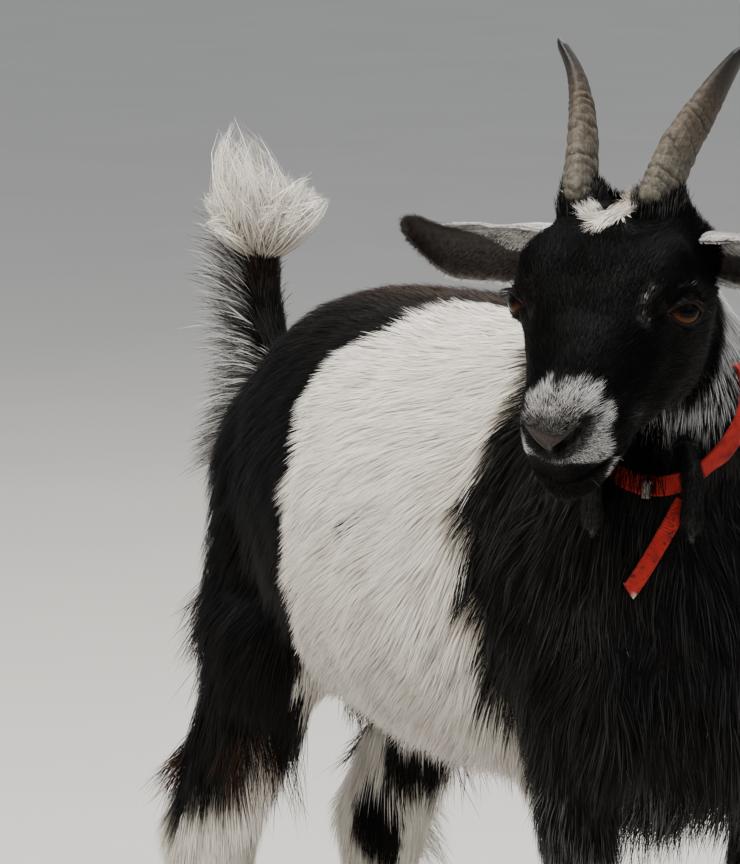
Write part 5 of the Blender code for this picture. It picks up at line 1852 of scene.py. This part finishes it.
longHair = {
    "fanStrands": 3800,
    "fanWidth": 0.00062,
    "fanRoot": (-0.264, 0.0, 0.543),  # where the locks fan out, in the goat's own plan
    # the three ways that a lock's lean is given in: forward to the left, up, and forward to the right
    "fanWays": ((0.574, 0.819, 0.0), (0.0, 0.0, 1.0), (0.819, -0.574, 0.0)),
    "fanLocks": (  # each lock's lean, and its length in mm
        (-0.20, 1.0, 0.10, 88), (-0.33, 1.0, -0.15, 80), (-0.08, 1.0, -0.05, 76), (-0.14, 1.0, 0.35, 66),
        (0.16, 1.0, 0.12, 61), (0.36, 1.0, -0.30, 54), (0.58, 1.0, 0.10, 58), (0.76, 0.90, -0.20, 53),
        (1.00, 0.80, 0.12, 56), (-0.54, 0.95, 0.10, 60), (-0.72, 0.72, -0.25, 52), (-0.30, 0.90, 0.65, 48),
        (0.25, 0.80, 0.70, 42), (0.66, 0.60, 0.55, 42), (0.0, 0.90, -0.75, 46), (-0.80, 0.45, 0.25, 42),
    ),
    "fringeStrands": 9600,
    "fringeLength": (0.024, 0.057),
    "fringeWidth": 0.0006,
    # low and high corner in mm, sides, strands, length, way, weight, and shares of pale, grey and brown
    "wisps": (
        # rusty, behind the thighs and before the gaskins
        ((-285, 30, 225), (-215, 100, 345), 2, 1100, 0.054, (-0.66, 0.12, -0.95), 0.06, 0.0, 0.0, 1.0),
        ((-160, 60, 225), (-120, 110, 270), 2, 130, 0.050, (0.14, 0.04, -1.0), 0.05, 0.0, 0.0, 0.8),
        # black, under the chest, on the sheath and at the throat
        ((120, -60, 190), (240, 60, 240), 1, 420, 0.040, (-0.15, 0.0, -1.0), 0.05, 0.0, 0.10, 0.2),
        ((-154, -11, 225), (-140, 11, 320), 1, 560, 0.050, (0.05, 0.0, -1.0), 0.0, 0.0, 0.0, 0.0),
        ((205, -110, 458), (265, -58, 486), 1, 620, 0.032, (0.40, -0.36, -0.66), 0.30, 0.0, 0.0, 0.0),
        # white, by the far hock
        ((-270, 85, 150), (-215, 125, 250), 1, 480, 0.046, (-0.02, 0.60, -0.95), 0.12, 1.0, 0.0, 0.0),
    ),
    "wispWidth": 0.0005,
    "hornStrands": 1700,
    "hornReach": (0.023, 0.017, 0.019),  # half sizes of the patch of hair round each horn's root
    "hornWidth": 0.00042,
    "star": (  # line that it grows on, way, length, strands: to each side, and forward in a point
        (((-0.040, -0.012, 0.034), (-0.052, -0.022, 0.031)), (-0.45, -0.62, 0.50), 0.0130, 900),
        (((-0.042, -0.002, 0.034), (-0.053, 0.005, 0.031)), (-0.40, 0.66, 0.42), 0.0140, 800),
        (((-0.044, -0.008, 0.034), (-0.030, -0.006, 0.036)), (0.92, 0.10, 0.14), 0.0082, 760),
    ),
    "starWidth": 0.00038,
    "lashes": 130,
    "lashWidth": 0.00028,
    "whiskers": 420,
    "whiskerWidth": 0.00026,
}


def strandsWhere(inside, count, draw):
    # roots spread evenly over the part of the skin where inside() holds
    rough = sowRoots(skin.data, lambda points: 2.0e6 * inside(points), draw)
    sown = some(rough, np.sort(draw.permutation(len(rough["root"]))[:count]))
    return sown, sown["root"], sown["facing"], len(sown["root"])


def strandPaths(roots, way, length, weight, steps, draw, wave=0.03):
    # each strand starts along its own way, bends down by its weight and wanders a little
    spine = [roots]
    lean = unit(np.cross(way, draw.normal(size=way.shape)))
    for k in range(1, steps + 1):
        t = k / steps
        place = roots + way * (length * t)[:, None]
        place = place + lean * (length * wave * np.sin(math.pi * t * 1.3))[:, None]
        place[:, 2] -= weight * length * t * t
        spine.append(place)
    return np.stack(spine, axis=1)


def hairMarks(count, draw, **given):
    shares = {key: np.broadcast_to(given.get(key, 0.0), count) for key in ("pale", "grey", "brown")}
    return {**shares, "tone": draw.uniform(0.35, 1.0, count)}


def blades(name, sown, spine, width, shares, draw):
    count = len(spine)
    part = {"uv": patchPlaces(skin.data, name, sown), "width": np.full(count, width), **shares}
    side = unit(np.cross(spine[:, -1] - spine[:, 0], draw.normal(size=(count, 3))))
    return ribbons(spine, side, part)


def growFan(name):
    # the white brush at the tail's end: fine straight hair, in a few tall locks
    draw = np.random.default_rng(51)

    def inside(points):
        x, y, z = toBody(points).T
        return (z > 0.537) & (np.abs(x + 0.263) < 0.035) & (np.abs(y) < 0.035)

    sown, roots, _, count = strandsWhere(inside, longHair["fanStrands"], draw)
    locks = np.array(longHair["fanLocks"])
    lockWays = unit(locks[:, :3] @ np.array(longHair["fanWays"]))
    root = np.array(longHair["fanRoot"])
    body = toBody(roots)
    outward = unit(np.stack((body[:, 0] - root[0], body[:, 1], np.full(count, 0.004)), axis=1))
    fit = outward @ lockWays.T + draw.normal(0, 0.34, (count, len(locks))) + 0.10 * lockWays[:, 2]
    lock = fit.argmax(1)
    tall = locks[lock, 3] / 1000
    length = tall * (1 - 0.45 * draw.random(count) ** 1.6)
    scatter = draw.normal(0, 1.0, (count, 3)) * (0.0022 + 0.10 * (tall - length))[:, None]
    end = fromBody(root) + lockWays[lock] * length[:, None] + scatter
    bow = roots + (outward * 0.40 + lockWays[lock] * 0.30) * length[:, None]
    spine = np.stack([
        roots * (1 - t) ** 2 + bow * 2 * t * (1 - t) + end * t * t for t in (0.0, 0.25, 0.5, 0.75, 1.0)
    ], axis=1)
    stain = 0.35 * draw.random(count) * (draw.random(count) < 0.25)
    shares = hairMarks(count, draw, pale=1.0)
    shares["tone"] = np.clip(0.60 + 0.50 * shares["tone"] - stain, 0, 1)
    return [blades(name, sown, spine, longHair["fanWidth"], shares, draw)]


def growFringe(name):
    # the tail's long rear hair: black at the root, grey and white outside, hanging back and down
    draw = np.random.default_rng(53)

    def inside(points):
        x, y, z = toBody(points).T
        return (z > 0.405) & (z < 0.548) & (x < -0.230) & (np.abs(y) < 0.040)

    sown, roots, facing, count = strandsWhere(inside, longHair["fringeStrands"], draw)
    height = toBody(roots)[:, 2]
    rear = ((facing[:, 0] < 0.25) | (height < 0.45)) & (draw.random(count) < ease(0.398, 0.450, height))
    sown = some(sown, rear)
    roots, facing, height = sown["root"], sown["facing"], height[rear]
    count = len(roots)
    upper = ease(0.43, 0.53, height)
    way = unit(facing * (0.55, 0.55, 0.2) + (-0.55, 0, 0) + np.outer(1.25 * upper - 0.25, (0, 0, 1.0)))
    way = unit(way + draw.normal(0, 0.13, (count, 3)))
    short, tall = longHair["fringeLength"]
    behind = ease(-0.15, 0.75, 0.45 * np.abs(facing[:, 1]) - facing[:, 0])
    length = (short + (tall - short) * behind) * draw.uniform(0.65, 1.1, count)
    length = length * (0.72 + 0.28 * upper) * (1 - 0.5 * ease(0.2, 0.6, facing[:, 1]))
    spine = strandPaths(roots - facing * 0.001, way, length, 0.24, 4, draw, wave=0.05)
    lower = ease(0.46, 0.43, height)
    grey = draw.random(count) < 0.20 + 0.72 * np.maximum(behind, lower)
    grey = grey * draw.uniform(0.2, 0.85, count) ** 1.4
    shares = hairMarks(count, draw, grey=grey, brown=0.15)
    return [blades(name, sown, spine, longHair["fringeWidth"], shares, draw)]


def growWisp(name, wisp, side, draw):
    low, high, _, strands, length, way, weight, pale, grey, brown = wisp

    def inside(points):
        body = toBody(points) * (1, side, 1) * 1000
        return ((body > low) & (body < high)).all(1)

    sown, roots, facing, count = strandsWhere(inside, strands, draw)
    ways = unit(np.array(way) * (1, side, 1) + 0.22 * facing + draw.normal(0, 0.11, (count, 3)))
    # hairs that share a lock leave the coat together
    lock = np.floor(toBody(roots)[:, 2] / 0.012 + draw.normal(0, 0.2, count)).astype(int) % 9
    ways = unit(ways + draw.normal(0, 0.10, (9, 3))[lock])
    lengths = length * draw.uniform(0.6, 1.15, count)
    spine = strandPaths(roots - facing * 0.001, ways, lengths, weight, 4, draw, wave=0.06)
    browns = brown * draw.uniform(0.5, 1.0, count)
    greys = (draw.random(count) < grey) * 0.5
    shares = hairMarks(count, draw, pale=pale, grey=greys, brown=browns)
    return blades(name, sown, spine, longHair["wispWidth"], shares, draw)


def growFeathers(name):
    draw = np.random.default_rng(57)
    return [growWisp(name, wisp, side, draw) for wisp in longHair["wisps"] for side in (1, -1)[:wisp[2]]]


def growHornHair(name):
    # hair from round the horns' roots climbs their fronts and sides
    draw = np.random.default_rng(59)
    chunks = []
    for side in (1, -1):
        root = hornRoot(side)

        def inside(points):
            return (((toHead(points) - root) / longHair["hornReach"]) ** 2).sum(1) < 1

        sown, roots, facing, count = strandsWhere(inside, longHair["hornStrands"], draw)
        ahead = ease(-0.006, 0.014, toHead(roots)[:, 0] - root[0])
        ways = np.outer(1 - ahead, (-0.90, side * 0.08, 0.36)) + np.outer(ahead, (-0.72, side * 0.05, 0.62))
        ways = unit(ways @ headAxes.T + 0.12 * facing + draw.normal(0, 0.09, (count, 3)))
        lengths = draw.uniform(0.004, 0.0095, count) + 0.006 * ahead
        spine = strandPaths(roots - facing * 0.001, ways, lengths, 0.0, 3, draw)
        shares = hairMarks(count, draw, grey=(draw.random(count) < 0.30) * 0.07)
        chunks.append(blades(name, sown, spine, longHair["hornWidth"], shares, draw))
    return chunks


def growStar(name):
    # the white tuft between the horns: hair parts to either side and falls forward in a point
    draw = np.random.default_rng(67)
    chunks = []
    for ends, way, length, strands in longHair["star"]:
        def inside(points):
            return offLine(toHead(points), ends)[0] < 0.0062

        sown, roots, facing, count = strandsWhere(inside, strands, draw)
        ways = unit(np.array(way) @ headAxes.T + draw.normal(0, 0.09, (count, 3)))
        lengths = length * draw.uniform(0.55, 1.1, count)
        spine = strandPaths(roots - facing * 0.001, ways, lengths, 0.12, 3, draw)
        shares = hairMarks(count, draw, pale=1.0)
        chunks.append(blades(name, sown, spine, longHair["starWidth"], shares, draw))
    return chunks


def growLashes(name):
    # lashes on the upper lids, and sparse stiff whiskers on lips and chin
    draw = np.random.default_rng(61)
    chunks = []
    for side in (1, -1):
        centre = eyeCentre(side)
        gaze, outward, up = eyeAxes(side)

        def aboveLid(points):
            away = toHead(points) - centre
            across = np.degrees(np.arctan2(away @ outward, away @ gaze))
            above = np.degrees(np.arctan2(away @ up, away @ gaze))
            edge = above - lidHalf(across, above > 0)
            near = np.linalg.norm(away, axis=1) < 0.0195
            return near & (above > 0) & (edge > 3) & (edge < 10) & (np.abs(across) < 46)

        sown, roots, _, count = strandsWhere(aboveLid, longHair["lashes"], draw)
        away = toHead(roots) - centre
        ways = unit(gaze * 0.95 + np.outer(away @ outward, outward) * 34 + up * 0.10) @ headAxes.T
        ways = unit(ways + draw.normal(0, 0.10, (count, 3)))
        spine = strandPaths(roots, ways, draw.uniform(0.005, 0.008, count), 0.15, 3, draw)
        shares = hairMarks(count, draw, brown=0.1)
        chunks.append(blades(name, sown, spine, longHair["lashWidth"], shares, draw))

    def onChin(points):
        head = toHead(points)
        return (head[:, 0] > 0.070) & (head[:, 2] < -0.030) & (~bareOfHair(points))

    sown, roots, facing, count = strandsWhere(onChin, longHair["whiskers"], draw)
    ways = unit(facing + combed(roots)[0] * 1.1 + draw.normal(0, 0.15, (count, 3)))
    spine = strandPaths(roots, ways, draw.uniform(0.005, 0.012, count), 0.15, 3, draw)
    grey = (draw.random(count) < 0.20) * draw.uniform(0.05, 0.5, count)
    shares = hairMarks(count, draw, grey=grey)
    chunks.append(blades(name, sown, spine, longHair["whiskerWidth"], shares, draw))
    return chunks


coatTotal = growCoat()
coatTotal += sum(growOnEar(leaf, side, word) for leaf, (side, word) in zip(ears, bothSides))
coatTotal += sum(growOnWattle(tube, word) for word, tube in wattles.items())
for name, grow in (
    ("hair_tail_fan", growFan), ("hair_tail_fringe", growFringe), ("hair_feathers", growFeathers),
    ("hair_lashes", growLashes), ("hair_star", growStar), ("hair_horn_roots", growHornHair),
):
    coatTotal += coatPiece(name, grow(name), coatFinish)
print("whole coat:", coatTotal, "triangles")
